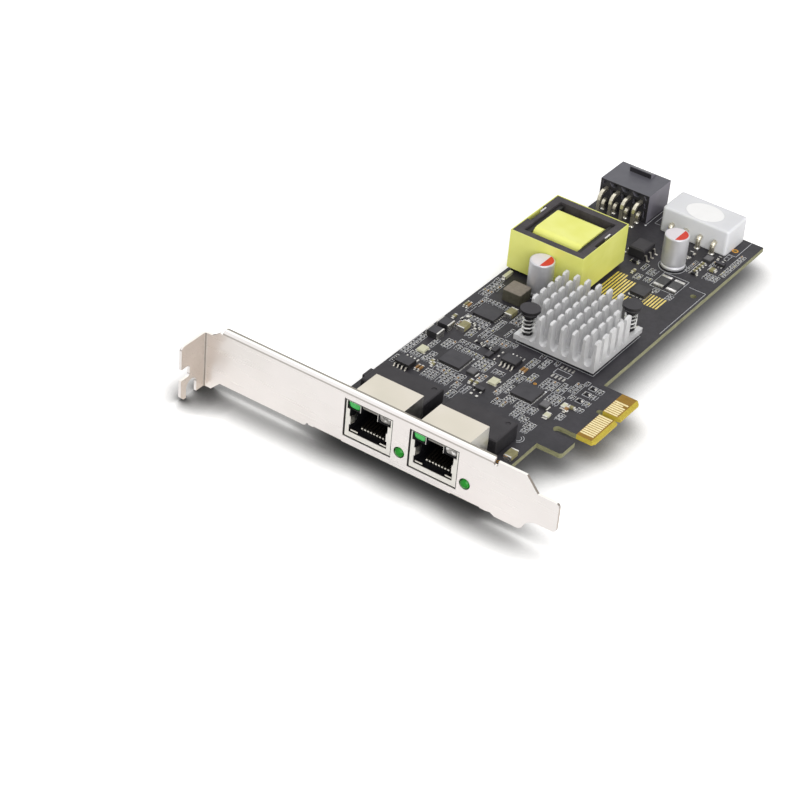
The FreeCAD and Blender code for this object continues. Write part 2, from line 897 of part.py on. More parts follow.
def panel_lamp(x):
    """A round lamp: a domed nose through the bracket and a rim seated in its holder."""
    r = panel_lamp_radius
    dome = []
    for i in range(1, dome_steps + 1):
        turn = math.pi / 2 * i / dome_steps
        dome.append((r * math.sin(turn), r - panel_lamp_nose - r * math.cos(turn)))
    path = [(0, -panel_lamp_nose)] + dome + [
            (r, panel_lamp_seat - panel_lamp_rim_depth),
            (r + panel_lamp_rim, panel_lamp_seat - panel_lamp_rim_depth),
            (r + panel_lamp_rim, panel_lamp_seat),
            (0, panel_lamp_seat)]
    lamp = face(path, lambda a, b: V(a, b, 0)).revolve(V(0, 0, 0), V(0, 1, 0), 360)
    return lamp.translated(V(x, 0, panel_lamp_height))


def panel_lamp_holder(x):
    top = panel_lamp_height + holder_above
    body = box(x - holder_width / 2, x + holder_width / 2, panel_lamp_seat,
               panel_lamp_seat + holder_depth, board_top, top)
    return body.makeChamfer(holder_chamfer, edges_at(body, "x", [(panel_lamp_seat + holder_depth, top)]))


# Network line transformers

def magnetics(x0):
    x1 = x0 + magnetics_width
    y1 = magnetics_front + magnetics_depth
    z0 = board_top + magnetics_lift
    body = box(x0, x1, magnetics_front, y1, z0, magnetics_top)
    body = body.makeChamfer(magnetics_chamfer, top_edges(body, magnetics_top))
    ear = box(x0 - magnetics_ear, x0, magnetics_ear_front, magnetics_ear_back, z0,
              magnetics_top - magnetics_ear_drop)
    dimple = post(x1 - magnetics_dimple_inset, y1 - magnetics_dimple_inset, magnetics_dimple_radius,
                  magnetics_top - magnetics_dimple_depth, magnetics_top + 1)
    return union([body, ear]).cut(dimple)


def magnetics_leads(x0):
    edges = (magnetics_front, magnetics_front + magnetics_depth)
    return group(lead_rows(edges, x0 + magnetics_width / 2, line_lead_count, line_lead_pitch,
                           line_lead_width, board_top + lead_root, "y"))


# Heatsink and its fixings

def heatsink():
    """An extrusion with round-bottomed grooves, cross-cut into rows of tapered pins."""
    spread = (fin_root - fin_tip) / 2
    path = [(heatsink_left, heatsink_bottom), (heatsink_right, heatsink_bottom),
            (heatsink_right, heatsink_top)]
    for i in reversed(range(fin_columns - 1)):
        left_tip = heatsink_left + i * fin_pitch_x + fin_tip
        right_tip = heatsink_left + (i + 1) * fin_pitch_x
        left_root = left_tip + spread
        right_root = right_tip - spread
        radius = (right_root - left_root) / 2
        path.append((right_tip, heatsink_top))
        path.append((right_root, groove_bottom + radius))
        path.append((left_root + radius, groove_bottom, left_root, groove_bottom + radius))
        path.append((left_tip, heatsink_top))
    path.append((heatsink_left, heatsink_top))
    sink = prism(path, on_xz(heatsink_front), V(0, heatsink_depth, 0))
    above = heatsink_top + 1
    cuts = []
    for j in range(fin_rows + 1):
        y0 = heatsink_front + (j - 1) * fin_pitch_y + fin_length
        y1 = y0 + fin_pitch_y - fin_length
        cuts.append(sloped_slot(y0, y1))
    clear_x = 2 * fin_pitch_x - spread
    clear_y = 2 * fin_pitch_y
    cuts.append(box(heatsink_left - 1, heatsink_left + clear_x, heatsink_front - 1,
                    heatsink_front + clear_y, heatsink_floor, above))
    cuts.append(box(heatsink_right - clear_x, heatsink_right + 1, heatsink_back - clear_y,
                    heatsink_back + 1, heatsink_floor, above))
    cuts += [post(x, y, push_pin_hole, heatsink_bottom - 1, above) for x, y in push_pin_spots]
    for cut in cuts:
        sink = sink.cut(cut)
    return sink


def sloped_slot(y0, y1):
    """The space between two rows of the heatsink's pins, wider at the top where the tips slope."""
    start = heatsink_top - fin_slope_height
    above = heatsink_top + 1
    path = [(y0, heatsink_floor), (y1, heatsink_floor), (y1, start), (y1 + fin_slope, heatsink_top),
            (y1 + fin_slope, above), (y0 - fin_slope, above), (y0 - fin_slope, heatsink_top), (y0, start)]
    return prism(path, on_yz(heatsink_left - 1), V(heatsink_width + 2, 0, 0))


def bridge_chip():
    size = (bridge_chip_size, bridge_chip_size)
    return block(heatsink_middle, size, board_top, board_top + bridge_chip_height)


def thermal_pad():
    size = (bridge_chip_size, bridge_chip_size)
    return block(heatsink_middle, size, board_top + bridge_chip_height, heatsink_bottom)


def push_pin(x, y):
    """A moulded pin with a wide head, a long shank and a split barb under the board."""
    top = heatsink_top
    under_head = top - push_pin_head_height
    under_neck = under_head - push_pin_neck_height
    r = push_pin_radius
    barb = push_pin_barb_radius
    path = [(0, board_bottom - push_pin_barb_height),
            (r / 2, board_bottom - push_pin_barb_height),
            (barb, board_bottom - push_pin_barb_collar),
            (barb, board_bottom),
            (r, board_bottom),
            (r, under_neck),
            (push_pin_neck_radius, under_neck),
            (push_pin_neck_radius, under_neck + push_pin_neck_edge),
            (push_pin_head_radius, under_head),
            (push_pin_head_radius, top),
            (0, top)]
    pin = face(path, on_xz(0)).revolve(V(0, 0, 0), V(0, 0, 1), 360)
    half = push_pin_barb_slit / 2
    slit = box(-half, half, -barb - 1, barb + 1, board_bottom - push_pin_barb_height - 1,
               board_bottom + push_pin_slit_above)
    return pin.cut(slit).translated(V(x, y, 0))


def push_pin_spring(x, y):
    """A coil spring between the heatsink's base and the pin's neck."""
    bottom = heatsink_floor + spring_wire_radius
    top = heatsink_top - push_pin_head_height - push_pin_neck_height - spring_wire_radius
    steps = int(spring_turns * spring_steps)
    line = []
    for i in range(steps + 1):
        turn = 2 * math.pi * i / spring_steps
        line.append(V(spring_radius * math.cos(turn), spring_radius * math.sin(turn),
                      (top - bottom) * i / steps))
    path = Part.makePolygon(line)
    section = []
    for i in range(spring_sides + 1):
        turn = 2 * math.pi * i / spring_sides
        section.append(V(spring_radius + spring_wire_radius * math.cos(turn), 0,
                         spring_wire_radius * math.sin(turn)))
    coil = path.makePipeShell([Part.makePolygon(section)], True, False, 1)
    return coil.translated(V(x, y, bottom))


# Power transformer

def core_half(side):
    """One E-shaped ferrite half: a grooved yoke, two outer legs and the centre leg."""
    outer = core_left if side < 0 else core_right
    legs = [(core_front, core_front + core_wall, core_bottom, core_top),
            (core_back - core_wall, core_back, core_bottom, core_top),
            (core_middle_y - core_leg_width / 2, core_middle_y + core_leg_width / 2,
             core_middle_z - core_leg_height / 2, core_middle_z + core_leg_height / 2)]
    yoke_x = sorted((outer, outer - side * core_wall))
    leg_x = sorted((outer - side * core_wall, core_middle_x))
    pieces = [box(yoke_x[0], yoke_x[1], core_front, core_back, core_bottom, core_top)]
    pieces += [box(leg_x[0], leg_x[1], y0, y1, z0, z1) for y0, y1, z0, z1 in legs]
    groove_x = sorted((outer + side, outer - side * core_groove_depth))
    groove = box(groove_x[0], groove_x[1], core_middle_y - core_groove_width / 2,
                 core_middle_y + core_groove_width / 2, core_bottom - 1, core_top + 1)
    return union(pieces).cut(groove)


def bobbin_tube(grow, x0, x1):
    """The space round the centre leg, grown by a wall."""
    half_y = core_leg_width / 2 + grow
    half_z = core_leg_height / 2 + grow
    return box(x0, x1, core_middle_y - half_y, core_middle_y + half_y,
               core_middle_z - half_z, core_middle_z + half_z)


def transformer_bobbin():
    """Two flanges on a square tube, standing on two rails that hold the pins."""
    inside_left = core_left + core_wall + bobbin_gap
    inside_right = core_right - core_wall - bobbin_gap
    front = core_front + core_wall + bobbin_gap
    back = core_back - core_wall - bobbin_gap
    pieces = [bobbin_tube(bobbin_tube_wall, inside_left, inside_right)]
    for x in (inside_left, inside_right - bobbin_flange):
        pieces.append(box(x, x + bobbin_flange, front, back, board_top + bobbin_foot, bobbin_flange_top))
    rail_edges = ((core_left + bobbin_rail_margin, inside_left + bobbin_flange),
                  (inside_right - bobbin_flange, core_right - bobbin_rail_margin))
    for low, high in rail_edges:
        pieces.append(box(low, high, core_front + bobbin_rail_inset, core_back - bobbin_rail_inset,
                          board_top, core_bottom))
    body = union(pieces).cut(bobbin_tube(0, core_left, core_right))
    pins = [block((x, y), (bobbin_pin_side, bobbin_pin_side), board_top - 1, bobbin_pin_top)
            for x in bobbin_pin_columns for y in bobbin_pin_rows]
    return body.cut(group(pins))


def transformer_pins():
    return group(block((x, y), (bobbin_pin_side, bobbin_pin_side), board_bottom - bobbin_pin_tail,
                       bobbin_pin_top)
                 for x in bobbin_pin_columns for y in bobbin_pin_rows)


def transformer_winding():
    """The taped winding, a rounded block round the bobbin's tube."""
    x0 = core_left + core_wall + bobbin_gap + bobbin_flange
    x1 = core_right - core_wall - bobbin_gap - bobbin_flange
    y0 = core_middle_y - winding_width / 2
    y1 = core_middle_y + winding_width / 2
    winding = box(x0, x1, y0, y1, winding_bottom, winding_top)
    corners = [(y, z) for y in (y0, y1) for z in (winding_bottom, winding_top)]
    winding = round_at(winding, "x", corners, winding_corner)
    return winding.cut(bobbin_tube(bobbin_tube_wall, core_left, core_right))


def transformer_tape():
    """The band of tape round the core's four sides."""
    t = tape_thickness
    z0 = core_bottom + tape_margin
    z1 = core_top + tape_above
    outer = box(core_left - t, core_right + t, core_front - t, core_back + t, z0, z1)
    return outer.cut(box(core_left, core_right, core_front, core_back, z0 - 1, z1 + 1))


def core_clips():
    """A strip of metal in the groove of each yoke."""
    y0 = core_middle_y + core_groove_width / 2 - clip_width
    strips = []
    for side, outer in ((-1, core_left), (1, core_right)):
        x0, x1 = sorted((outer - side * core_groove_depth, outer - side * (core_groove_depth - clip_sheet)))
        strips.append(box(x0, x1, y0, y0 + clip_width, core_bottom, core_top + clip_above))
    return group(strips)


# Capacitors

def capacitor_can(x, y):
    """An aluminium can with a soft top edge and a crimped groove near its base."""
    r = capacitor_radius
    low = board_top + capacitor_seal_height
    groove = board_top + capacitor_groove_height
    g = capacitor_groove_depth
    e = capacitor_edge
    path = [(0, low),
            (r - capacitor_foot, low),
            (r, low + capacitor_foot),
            (r, groove - g),
            (r - g, groove),
            (r, groove + 2 * g),
            (r, capacitor_top - e),
            (r - e / 4, capacitor_top - e / 4),
            (r - e, capacitor_top),
            (0, capacitor_top)]
    can = face(path, on_xz(0)).revolve(V(0, 0, 0), V(0, 0, 1), 360)
    return can.translated(V(x, y, 0))


def capacitor_seal(x, y):
    return post(x, y, capacitor_seal_radius, board_top, board_top + capacitor_seal_height)


# Power connectors

def power_header():
    """A shrouded header with a pocket for each contact and a latch ramp on top."""
    x1 = power_left + power_width
    z1 = board_top + power_height
    body = box(power_left, x1, power_front, power_back, board_top, z1)
    ramp_left = power_left + latch_ramp_left
    ramp_y = power_front + latch_ramp_front
    ramp = prism([(ramp_y, z1), (power_back, z1), (ramp_y + latch_ramp_crest, z1 + latch_ramp_height),
                  (ramp_y, z1 + latch_ramp_height)], on_yz(ramp_left), V(latch_ramp_width, 0, 0))
    cuts = power_hollows()
    for x in power_columns_x:
        for z in (power_lower, power_upper):
            half = power_pocket / 2
            pin = power_pin_side / 2
            cuts.append(box(x - half, x + half, power_back - power_pocket_depth, power_back + 1,
                            z - half, z + half))
            cuts.append(box(x - pin, x + pin, power_front - 1, power_back, z - pin, z + pin))
    return union([body, ramp]).cut(group(cuts))


def power_hollows():
    """The moulded hollows between the pins on the power header's front face."""
    hollows = []
    half_width = power_width / 2 - power_side_wall
    middle = power_left + power_width / 2
    shapes = [(low, high, power_hollow_width, power_hollow_width) for low, high in power_hollow_heights]
    shapes.append(power_notch_heights + power_notch_widths)
    for i in range(power_columns + 1):
        x = (i - power_columns / 2) * power_pitch
        for low, high, low_width, high_width in shapes:
            path = [(middle + max(x - low_width / 2, -half_width), low),
                    (middle + min(x + low_width / 2, half_width), low),
                    (middle + min(x + high_width / 2, half_width), high),
                    (middle + max(x - high_width / 2, -half_width), high)]
            hollows.append(prism(path, on_xz(power_front - 1), V(0, power_hollow_depth + 1, 0)))
    return hollows


def pin_line(inside, bend, turn, z):
    """A pin's middle line in YZ: out of its header, round a turn and down through the board."""
    line = [(inside, z)]
    for i in range(pin_turn_steps + 1):
        angle = math.pi / 2 * i / pin_turn_steps
        line.append((bend + turn * (1 - math.sin(angle)), z - turn * (1 - math.cos(angle))))
    line.append((bend, tail_end))
    return line


def power_header_pins():
    """Two rows of square pins, each curved down through the board."""
    half = power_pin_side / 2
    inside = power_back - power_pocket_depth + power_pin_inside
    pins = []
    for bend, turn, z in ((power_upper_bend, power_upper_turn, power_upper),
                          (power_lower_bend, power_lower_turn, power_lower)):
        path = pin_line(inside, bend, turn, z)
        for x in power_columns_x:
            pins.append(bent_strip(path, power_pin_side, on_yz(x - half), V(power_pin_side, 0, 0)))
    return group(pins)


def drive_header():
    """A shroud with two cut corners in its cavity, open at the back of the card."""
    x0 = drive_left
    x1 = drive_left + drive_width
    z1 = board_top + drive_height
    body = box(x0, x1, drive_front, drive_back, board_top, z1)
    corners = [(x, y) for x in (x0, x1) for y in (drive_front, drive_back)]
    body = round_at(body, "z", corners, drive_corner)
    body = body.makeFillet(drive_top_edge, top_edges(body, z1))
    low = board_top + drive_floor
    high = z1 - drive_floor
    left = x0 + drive_wall
    right = x1 - drive_wall
    k = drive_key_chamfer
    cavity = prism([(left, low), (right, low), (right, high - k), (right - k, high),
                    (left + k, high), (left, high - k)],
                   on_xz(drive_back - drive_cavity_depth), V(0, drive_cavity_depth + 1, 0))
    holes = [rod(x, drive_pin_height, drive_pin_radius, drive_front - 1, drive_back) for x in drive_pins_x]
    return body.cut(group([cavity] + holes))


def drive_header_pins():
    """Round pins, each curved down to the board."""
    inside = drive_back - drive_cavity_depth + drive_pin_inside
    line = pin_line(inside, drive_pin_bend, drive_pin_turn, drive_pin_height)
    pins = []
    for x in drive_pins_x:
        path = Part.makePolygon([V(x, y, z) for y, z in line])
        section = Part.Wire(Part.makeCircle(drive_pin_radius, V(x, inside, drive_pin_height), V(0, 1, 0)))
        pins.append(path.makePipeShell([section], True, False, 1))
    return group(pins)


# Small parts

def power_inductor():
    x0 = inductor_left
    y0 = inductor_front
    top = board_top + inductor_height
    body = box(x0, x0 + inductor_width, y0, y0 + inductor_depth, board_top, top)
    corners = [(x, y) for x in (x0, x0 + inductor_width) for y in (y0, y0 + inductor_depth)]
    body = body.makeChamfer(inductor_chamfer, edges_at(body, "z", corners))
    return body.makeChamfer(inductor_chamfer / 2, top_edges(body, top))


def network_chips():
    size = (network_chip_size, network_chip_size)
    top = board_top + quad_chip_height
    return group(block(s, size, board_top, top) for s in lan_spots(network_chip_first))


def power_chips():
    return group([block(power_chip, power_chip_size, board_top, board_top + quad_chip_height),
                  block(regulator, regulator_size, board_top, board_top + regulator_height)])


def memory_chips():
    low = board_top + memory_lift
    return group(block(s, memory_size, low, board_top + memory_height) for s in memory_spots)


def optocoupler():
    low = board_top + memory_lift
    body = box(coupler_left, coupler_left + coupler_width, coupler_front, coupler_front + coupler_depth,
               low, coupler_top)
    return body.makeChamfer(coupler_edge, top_edges(body, coupler_top))


def lead_rows(edges, middle, count, pitch, width, root, along):
    """Two rows of gull-wing leads, on the sides of a body that face along one axis."""
    leads = []
    for side, edge in zip((-1, 1), edges):
        for i in range(count):
            spot = middle + (i - (count - 1) / 2) * pitch - width / 2
            if along == "x":
                leads.append(gull_lead(edge, side, root, on_xz(spot), V(0, width, 0)))
            else:
                leads.append(gull_lead(edge, side, root, on_yz(spot), V(width, 0, 0)))
    return leads


def chip_leads():
    leads = []
    for x, y in memory_spots:
        half = memory_size[1] / 2
        leads += lead_rows((y - half, y + half), x, memory_lead_count, memory_pitch, memory_lead_width,
                           board_top + memory_height / 2, "y")
    leads += lead_rows((coupler_left, coupler_left + coupler_width), coupler_front + coupler_depth / 2,
                       coupler_lead_count, coupler_pitch, coupler_lead_width, board_top + lead_root, "x")
    return group(leads)


def crystals():
    top = board_top + crystal_height
    return group(block(s, crystal_size, board_top, top) for s in lan_spots(crystal_first))


def ended(spots, size, height, end, long_axis):
    """Chip parts with a metal cap on each end: the bodies, and the caps."""
    bodies = []
    caps = []
    for x, y in spots:
        half_x = size[0] / 2
        half_y = size[1] / 2
        z0 = board_top
        z1 = board_top + height
        if long_axis == "x":
            bodies.append(box(x - half_x + end, x + half_x - end, y - half_y, y + half_y, z0, z1))
            caps.append(box(x - half_x, x - half_x + end, y - half_y, y + half_y, z0, z1))
            caps.append(box(x + half_x - end, x + half_x, y - half_y, y + half_y, z0, z1))
        else:
            bodies.append(box(x - half_x, x + half_x, y - half_y + end, y + half_y - end, z0, z1))
            caps.append(box(x - half_x, x + half_x, y - half_y, y - half_y + end, z0, z1))
            caps.append(box(x - half_x, x + half_x, y + half_y - end, y + half_y, z0, z1))
    return bodies, caps


def chokes():
    top = board_top + choke_height
    bodies = [block(spot, choke_size, board_top, top) for spot in lan_spots(line_choke_first) + [drive_choke]]
    return group(b.makeChamfer(choke_chamfer, top_edges(b, top)) for b in bodies)


def transistors():
    top = board_top + transistor_height
    turned_size = transistor_size[::-1]
    return group([block(s, transistor_size, board_top, top) for s in transistor_spots]
                 + [block(s, turned_size, board_top, top) for s in turned_transistor_spots])


# The whole card

def all_nodes():
    """Each piece of the card by name."""
    nodes = {
        "mounting_bracket": mounting_bracket(),
        "bracket_screws": bracket_screws(),
        "circuit_board": circuit_board(),
        "edge_contacts_top": edge_contacts(board_top),
        "edge_contacts_bottom": edge_contacts(board_bottom - contact_thickness),
        "exposed_copper": exposed_copper(),
        "heatsink": heatsink(),
        "bridge_chip": bridge_chip(),
        "thermal_pad": thermal_pad(),
        "transformer_core_left": core_half(-1),
        "transformer_core_right": core_half(1),
        "transformer_bobbin": transformer_bobbin(),
        "transformer_pins": transformer_pins(),
        "transformer_winding": transformer_winding(),
        "transformer_tape": transformer_tape(),
        "transformer_clips": core_clips(),
        "power_header": power_header(),
        "power_header_pins": power_header_pins(),
        "drive_header": drive_header(),
        "drive_header_pins": drive_header_pins(),
        "power_inductor": power_inductor(),
        "network_chips": network_chips(),
        "power_chips": power_chips(),
        "memory_chips": memory_chips(),
        "optocoupler": optocoupler(),
        "chip_leads": chip_leads(),
        "crystals": crystals(),
        "chokes": chokes(),
        "transistors": transistors(),
    }
    for i, x in enumerate(port_centres, 1):
        nodes["port_housing_%d" % i] = port_housing(x)
        nodes["port_shield_%d" % i] = port_shield(x)
        nodes["port_wires_%d" % i] = port_wires(x)
        nodes["port_green_lamp_%d" % i] = port_lamp(x, -1)
        nodes["port_clear_lamp_%d" % i] = port_lamp(x, 1)
    for i, x in enumerate(panel_lamp_centres, 1):
        nodes["panel_lamp_%d" % i] = panel_lamp(x)
        nodes["panel_lamp_holder_%d" % i] = panel_lamp_holder(x)
    for i, spot in enumerate(lan_spots((magnetics_first, 0)), 1):
        nodes["magnetics_%d" % i] = magnetics(spot[0])
        nodes["magnetics_leads_%d" % i] = magnetics_leads(spot[0])
    for i, spot in enumerate(push_pin_spots, 1):
        nodes["push_pin_%d" % i] = push_pin(*spot)
        nodes["push_pin_spring_%d" % i] = push_pin_spring(*spot)
    for i, spot in enumerate(capacitor_spots, 1):
        nodes["capacitor_can_%d" % i] = capacitor_can(*spot)
        nodes["capacitor_seal_%d" % i] = capacitor_seal(*spot)
    diodes, diode_caps = ended(diode_spots, diode_size, diode_height, diode_end, "x")
    shunts, shunt_caps = ended(shunt_spots, shunt_size, shunt_height, shunt_end, "y")
    ceramics, ceramic_caps = ended(ceramic_spots, ceramic_size, ceramic_height, ceramic_end, "y")
    nodes["diodes"] = group(diodes)
    nodes["shunt_resistors"] = group(shunts)
    nodes["ceramic_capacitors"] = group(ceramics)
    nodes["end_caps"] = group(diode_caps + shunt_caps + ceramic_caps)
    return nodes


def export(nodes):
    """Move every piece to the card's own origin and write it."""
    whole = group(nodes.values()).BoundBox
    origin = V((whole.XMin + whole.XMax) / 2, (whole.YMin + whole.YMax) / 2, whole.ZMin)
    os.makedirs("parts", exist_ok=True)
    for name, shape in nodes.items():
        shape.translated(-origin).exportStep("parts/%s.step" % name)


export(all_nodes())
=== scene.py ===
import json
import math
import random

import bmesh
import bpy
from mathutils import Matrix, Vector

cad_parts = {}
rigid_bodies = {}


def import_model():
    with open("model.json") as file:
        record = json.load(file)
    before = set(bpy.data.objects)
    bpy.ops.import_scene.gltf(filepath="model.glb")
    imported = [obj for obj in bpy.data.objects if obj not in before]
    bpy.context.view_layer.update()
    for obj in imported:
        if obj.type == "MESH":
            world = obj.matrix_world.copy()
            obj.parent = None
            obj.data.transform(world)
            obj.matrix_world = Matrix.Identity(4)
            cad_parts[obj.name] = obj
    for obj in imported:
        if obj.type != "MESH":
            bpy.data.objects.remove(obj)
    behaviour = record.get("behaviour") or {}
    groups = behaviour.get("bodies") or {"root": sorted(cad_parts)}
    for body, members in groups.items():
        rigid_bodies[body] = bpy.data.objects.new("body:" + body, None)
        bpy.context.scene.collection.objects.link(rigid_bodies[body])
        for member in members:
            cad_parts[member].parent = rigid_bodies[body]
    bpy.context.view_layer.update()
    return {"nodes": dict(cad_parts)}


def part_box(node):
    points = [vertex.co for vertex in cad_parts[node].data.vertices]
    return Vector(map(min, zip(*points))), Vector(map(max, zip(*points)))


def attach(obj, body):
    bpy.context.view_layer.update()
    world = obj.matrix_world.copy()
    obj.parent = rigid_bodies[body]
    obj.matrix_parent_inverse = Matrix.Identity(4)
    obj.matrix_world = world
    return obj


for thing in list(bpy.data.objects):
    bpy.data.objects.remove(thing)
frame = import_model()
NODES = frame["nodes"]

# Sizes and places are millimetres on the card, unless a comment says otherwise: X from the screw tab
# along the bracket, Y from the bracket's front face to the back, Z up from the blade's lower edge.
MM = 0.001
BRACKET_LENGTH = 120.02
TAB_REACH = 10.6
TAB_DROP = 3.08
bracket_low, bracket_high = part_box("mounting_bracket")
ORIGIN = Vector((bracket_high.x - BRACKET_LENGTH * MM, bracket_low.y + TAB_REACH * MM,
                 bracket_low.z + TAB_DROP * MM))
BOARD_TOP = (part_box("circuit_board")[1].z - ORIGIN.z) / MM
BOARD_BOTTOM = (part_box("circuit_board")[0].z - ORIGIN.z) / MM
LAN_PITCH = 24.75


def place(x, y, z):
    """A point of the card in the scene's metres."""
    return ORIGIN + Vector((x, y, z)) * MM


def card_box(node):
    """A node's lowest and highest corners in card millimetres."""
    low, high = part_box(node)
    return (low - ORIGIN) / MM, (high - ORIGIN) / MM


def middle_x(node):
    low, high = card_box(node)
    return (low.x + high.x) / 2


def capacitor_can(i):
    """The middle, the radius and the top of one capacitor's can."""
    low, high = card_box("capacitor_can_%d" % i)
    return (low + high) / 2, (high.x - low.x) / 2, high.z


# Node trees

SHADOW_SAMPLES = 16
BEVEL_SAMPLES = 4
NOISE_ROUGHNESS = 0.55
NOISE_LOW, NOISE_HIGH = 0.3, 0.7
BLACK, WHITE = (0, 0, 0, 1), (1, 1, 1, 1)


def linear(r, g, b):
    """A colour as written on a screen, 0 to 255, as linear light."""
    return tuple((c / 255 / 12.92) if c / 255 <= 0.04045 else ((c / 255 + 0.055) / 1.055) ** 2.4
                 for c in (r, g, b)) + (1.0,)


class Tree:
    """The node tree of a world or a material, with the steps that they share."""

    def __init__(self, owner):
        owner.use_nodes = True
        self.nodes = owner.node_tree.nodes
        self.links = owner.node_tree.links
        self.nodes.clear()

    def feed(self, socket, value):
        """Link a socket to another node's output, or set it."""
        if isinstance(value, bpy.types.NodeSocket):
            self.links.new(value, socket)
        else:
            socket.default_value = value

    def node(self, kind, **values):
        """A new node with its inputs fed. An underscore stands for the space in an input's name."""
        node = self.nodes.new("ShaderNode" + kind)
        for name, value in values.items():
            self.feed(node.inputs[name.replace("_", " ")], value)
        return node

    def math(self, operation, *values):
        node = self.node("Math")
        node.operation = operation
        for socket, value in zip(node.inputs, values):
            self.feed(socket, value)
        return node.outputs[0]

    def stretch(self, value, start, end, low=0.0, high=1.0):
        """A value between start and end, moved to the range from low to high."""
        node = self.node("MapRange", Value=value, From_Min=start, From_Max=end, To_Min=low, To_Max=high)
        return node.outputs[0]

    def blend(self, factor, a, b):
        """Colour a where the factor is 0, colour b where it is 1."""
        node = self.node("Mix")
        node.data_type = "RGBA"
        for index, value in ((0, factor), (6, a), (7, b)):
            self.feed(node.inputs[index], value)
        return node.outputs[2]

    def mix(self, factor, a, b):
        """Shader a where the factor is 0, shader b where it is 1."""
        node = self.node("MixShader")
        for socket, value in zip(node.inputs, (factor, a, b)):
            self.feed(socket, value)
        return node.outputs[0]

    def axis(self, vector, name):
        return self.node("SeparateXYZ", Vector=vector).outputs[name]

    def open_air(self, reach, lean):
        """How much of the air within reach is open, 0 to 1, looking along a leaned direction."""
        direction = self.node("CombineXYZ", X=lean[0], Y=lean[1], Z=lean[2]).outputs[0]
        node = self.node("AmbientOcclusion", Distance=reach * MM, Normal=direction)
        node.samples = SHADOW_SAMPLES
        return node.outputs["AO"]


class Shader(Tree):
    """A material built round one Principled shader."""

    def __init__(self, name):
        self.material = bpy.data.materials.new(name)
        super().__init__(self.material)
        self.bsdf = self.node("BsdfPrincipled")
        self.node("OutputMaterial", Surface=self.bsdf.outputs[0])
        self.coords = self.node("TexCoord").outputs["Object"]

    def finish(self, colour, roughness, normal, **values):
        """Feed the Principled shader and hand back the material."""
        values.update(Base_Color=colour, Roughness=roughness, Normal=normal)
        for name, value in values.items():
            self.feed(self.bsdf.inputs[name.replace("_", " ")], value)
        return self.material

    def noise(self, scale, detail=3.0):
        """Noise with cells of about 1 / scale metres. scale is one number, or three for stretched cells."""
        where = self.coords
        if isinstance(scale, tuple):
            where = self.node("Mapping", Vector=where, Scale=scale).outputs[0]
            scale = 1.0
        node = self.node("TexNoise", Vector=where, Scale=scale, Detail=detail, Roughness=NOISE_ROUGHNESS)
        return node.outputs["Fac"]

    def ramp(self, value, *stops):
        """A colour ramp. stops are (place, colour)."""
        node = self.node("ValToRGB", Fac=value)
        elements = node.color_ramp.elements
        while len(elements) < len(stops):
            elements.new(0.5)
        for element, (spot, colour) in zip(elements, stops):
            element.position = spot
            element.color = colour
        return node.outputs[0]

    def between(self, value, dark, light):
        """A noise turned into a colour between two screen colours."""
        return self.ramp(value, (NOISE_LOW, linear(*dark)), (NOISE_HIGH, linear(*light)))

    def drift(self, rgb, vary, scale):
        """A colour that drifts a little either way."""
        dark = [max(c - vary, 0) for c in rgb]
        light = [min(c + vary, 255) for c in rgb]
        return self.between(self.noise(scale), dark, light)

    def spread(self, value, low, high):
        """A noise stretched to a range."""
        return self.stretch(value, NOISE_LOW, NOISE_HIGH, low, high)

    def window(self, value, start, full, fading, end):
        """1 from full to fading, 0 before start and past end."""
        return self.ramp(value, (start, BLACK), (full, WHITE), (fading, WHITE), (end, BLACK))

    def side_of(self, axis, value, operation="GREATER_THAN"):
        """1 on one side of a place on the card along one axis."""
        limit = place(value, value, value)["XYZ".index(axis)]
        return self.math(operation, self.axis(self.coords, axis), limit)

    def facing(self, axis):
        """How far the surface faces along one axis, 0 to 1 for either side."""
        return self.math("ABSOLUTE", self.axis(self.node("NewGeometry").outputs["True Normal"], axis))

    def bump(self, height, strength, distance, round_edges):
        """Relief from a height, distance in metres, over edges softened by a radius."""
        node = self.node("Bump", Height=height, Strength=strength, Distance=distance)
        if round_edges:
            soft = self.node("Bevel", Radius=round_edges * MM)
            soft.samples = BEVEL_SAMPLES
            self.feed(node.inputs["Normal"], soft.outputs[0])
        return node.outputs[0]


# Camera, floor and light

# The photograph's view, solved from the bracket and the edge contacts.
CAMERA_SPOT = (349.366, -453.463, 408.299)
CAMERA_RIGHT = Vector((0.81779, 0.57065, 0.07470))
CAMERA_UP = Vector((-0.38540, 0.44662, 0.80747))
SENSOR_WIDTH = 36.0
LENS = 110.35
NEAREST_SEEN, FARTHEST_SEEN = 0.05, 20.0

# The floor: its half side in metres, how far the shadows reach, and where they look from it. Next to
# the blade a second shadow, which fades between two distances behind it, looks forward.
FLOOR_HALF = 3.0
SHADOW_REACH = 14
SHADOW_LEAN = (-0.5, 0.45, 0.74)
SHADOW_DEPTH = 2.5
BLADE_SHADOW_REACH = 10
BLADE_SHADOW_LEAN = (0.0, -0.25, 0.97)
BLADE_SHADOW_FADE = (5, 10)
BLADE_SHADOW_CLOSED = 0.74
BLADE_SHADOW_DARKEST = 0.3
FLOOR_SHADED = (0.05, 0.05, 0.05, 1)
FLOOR_PALE = (0.93, 0.925, 0.92, 1)
FLOOR_GLOW = 0.45

# The level of light all round, and the lights: name, place and size in metres, watts and colour.
SKY_COLOUR = (1.0, 0.99, 0.98, 1)
SKY_STRENGTH = 0.6
LIGHTS = [
    ("key", (0.95, -0.8, 0.7), (1.2, 1.2), 14.0, (1.0, 0.995, 0.985)),
    ("overhead", (-0.2, 0.3, 1.2), (1.2, 1.0), 2.0, (1.0, 1.0, 1.0)),
]


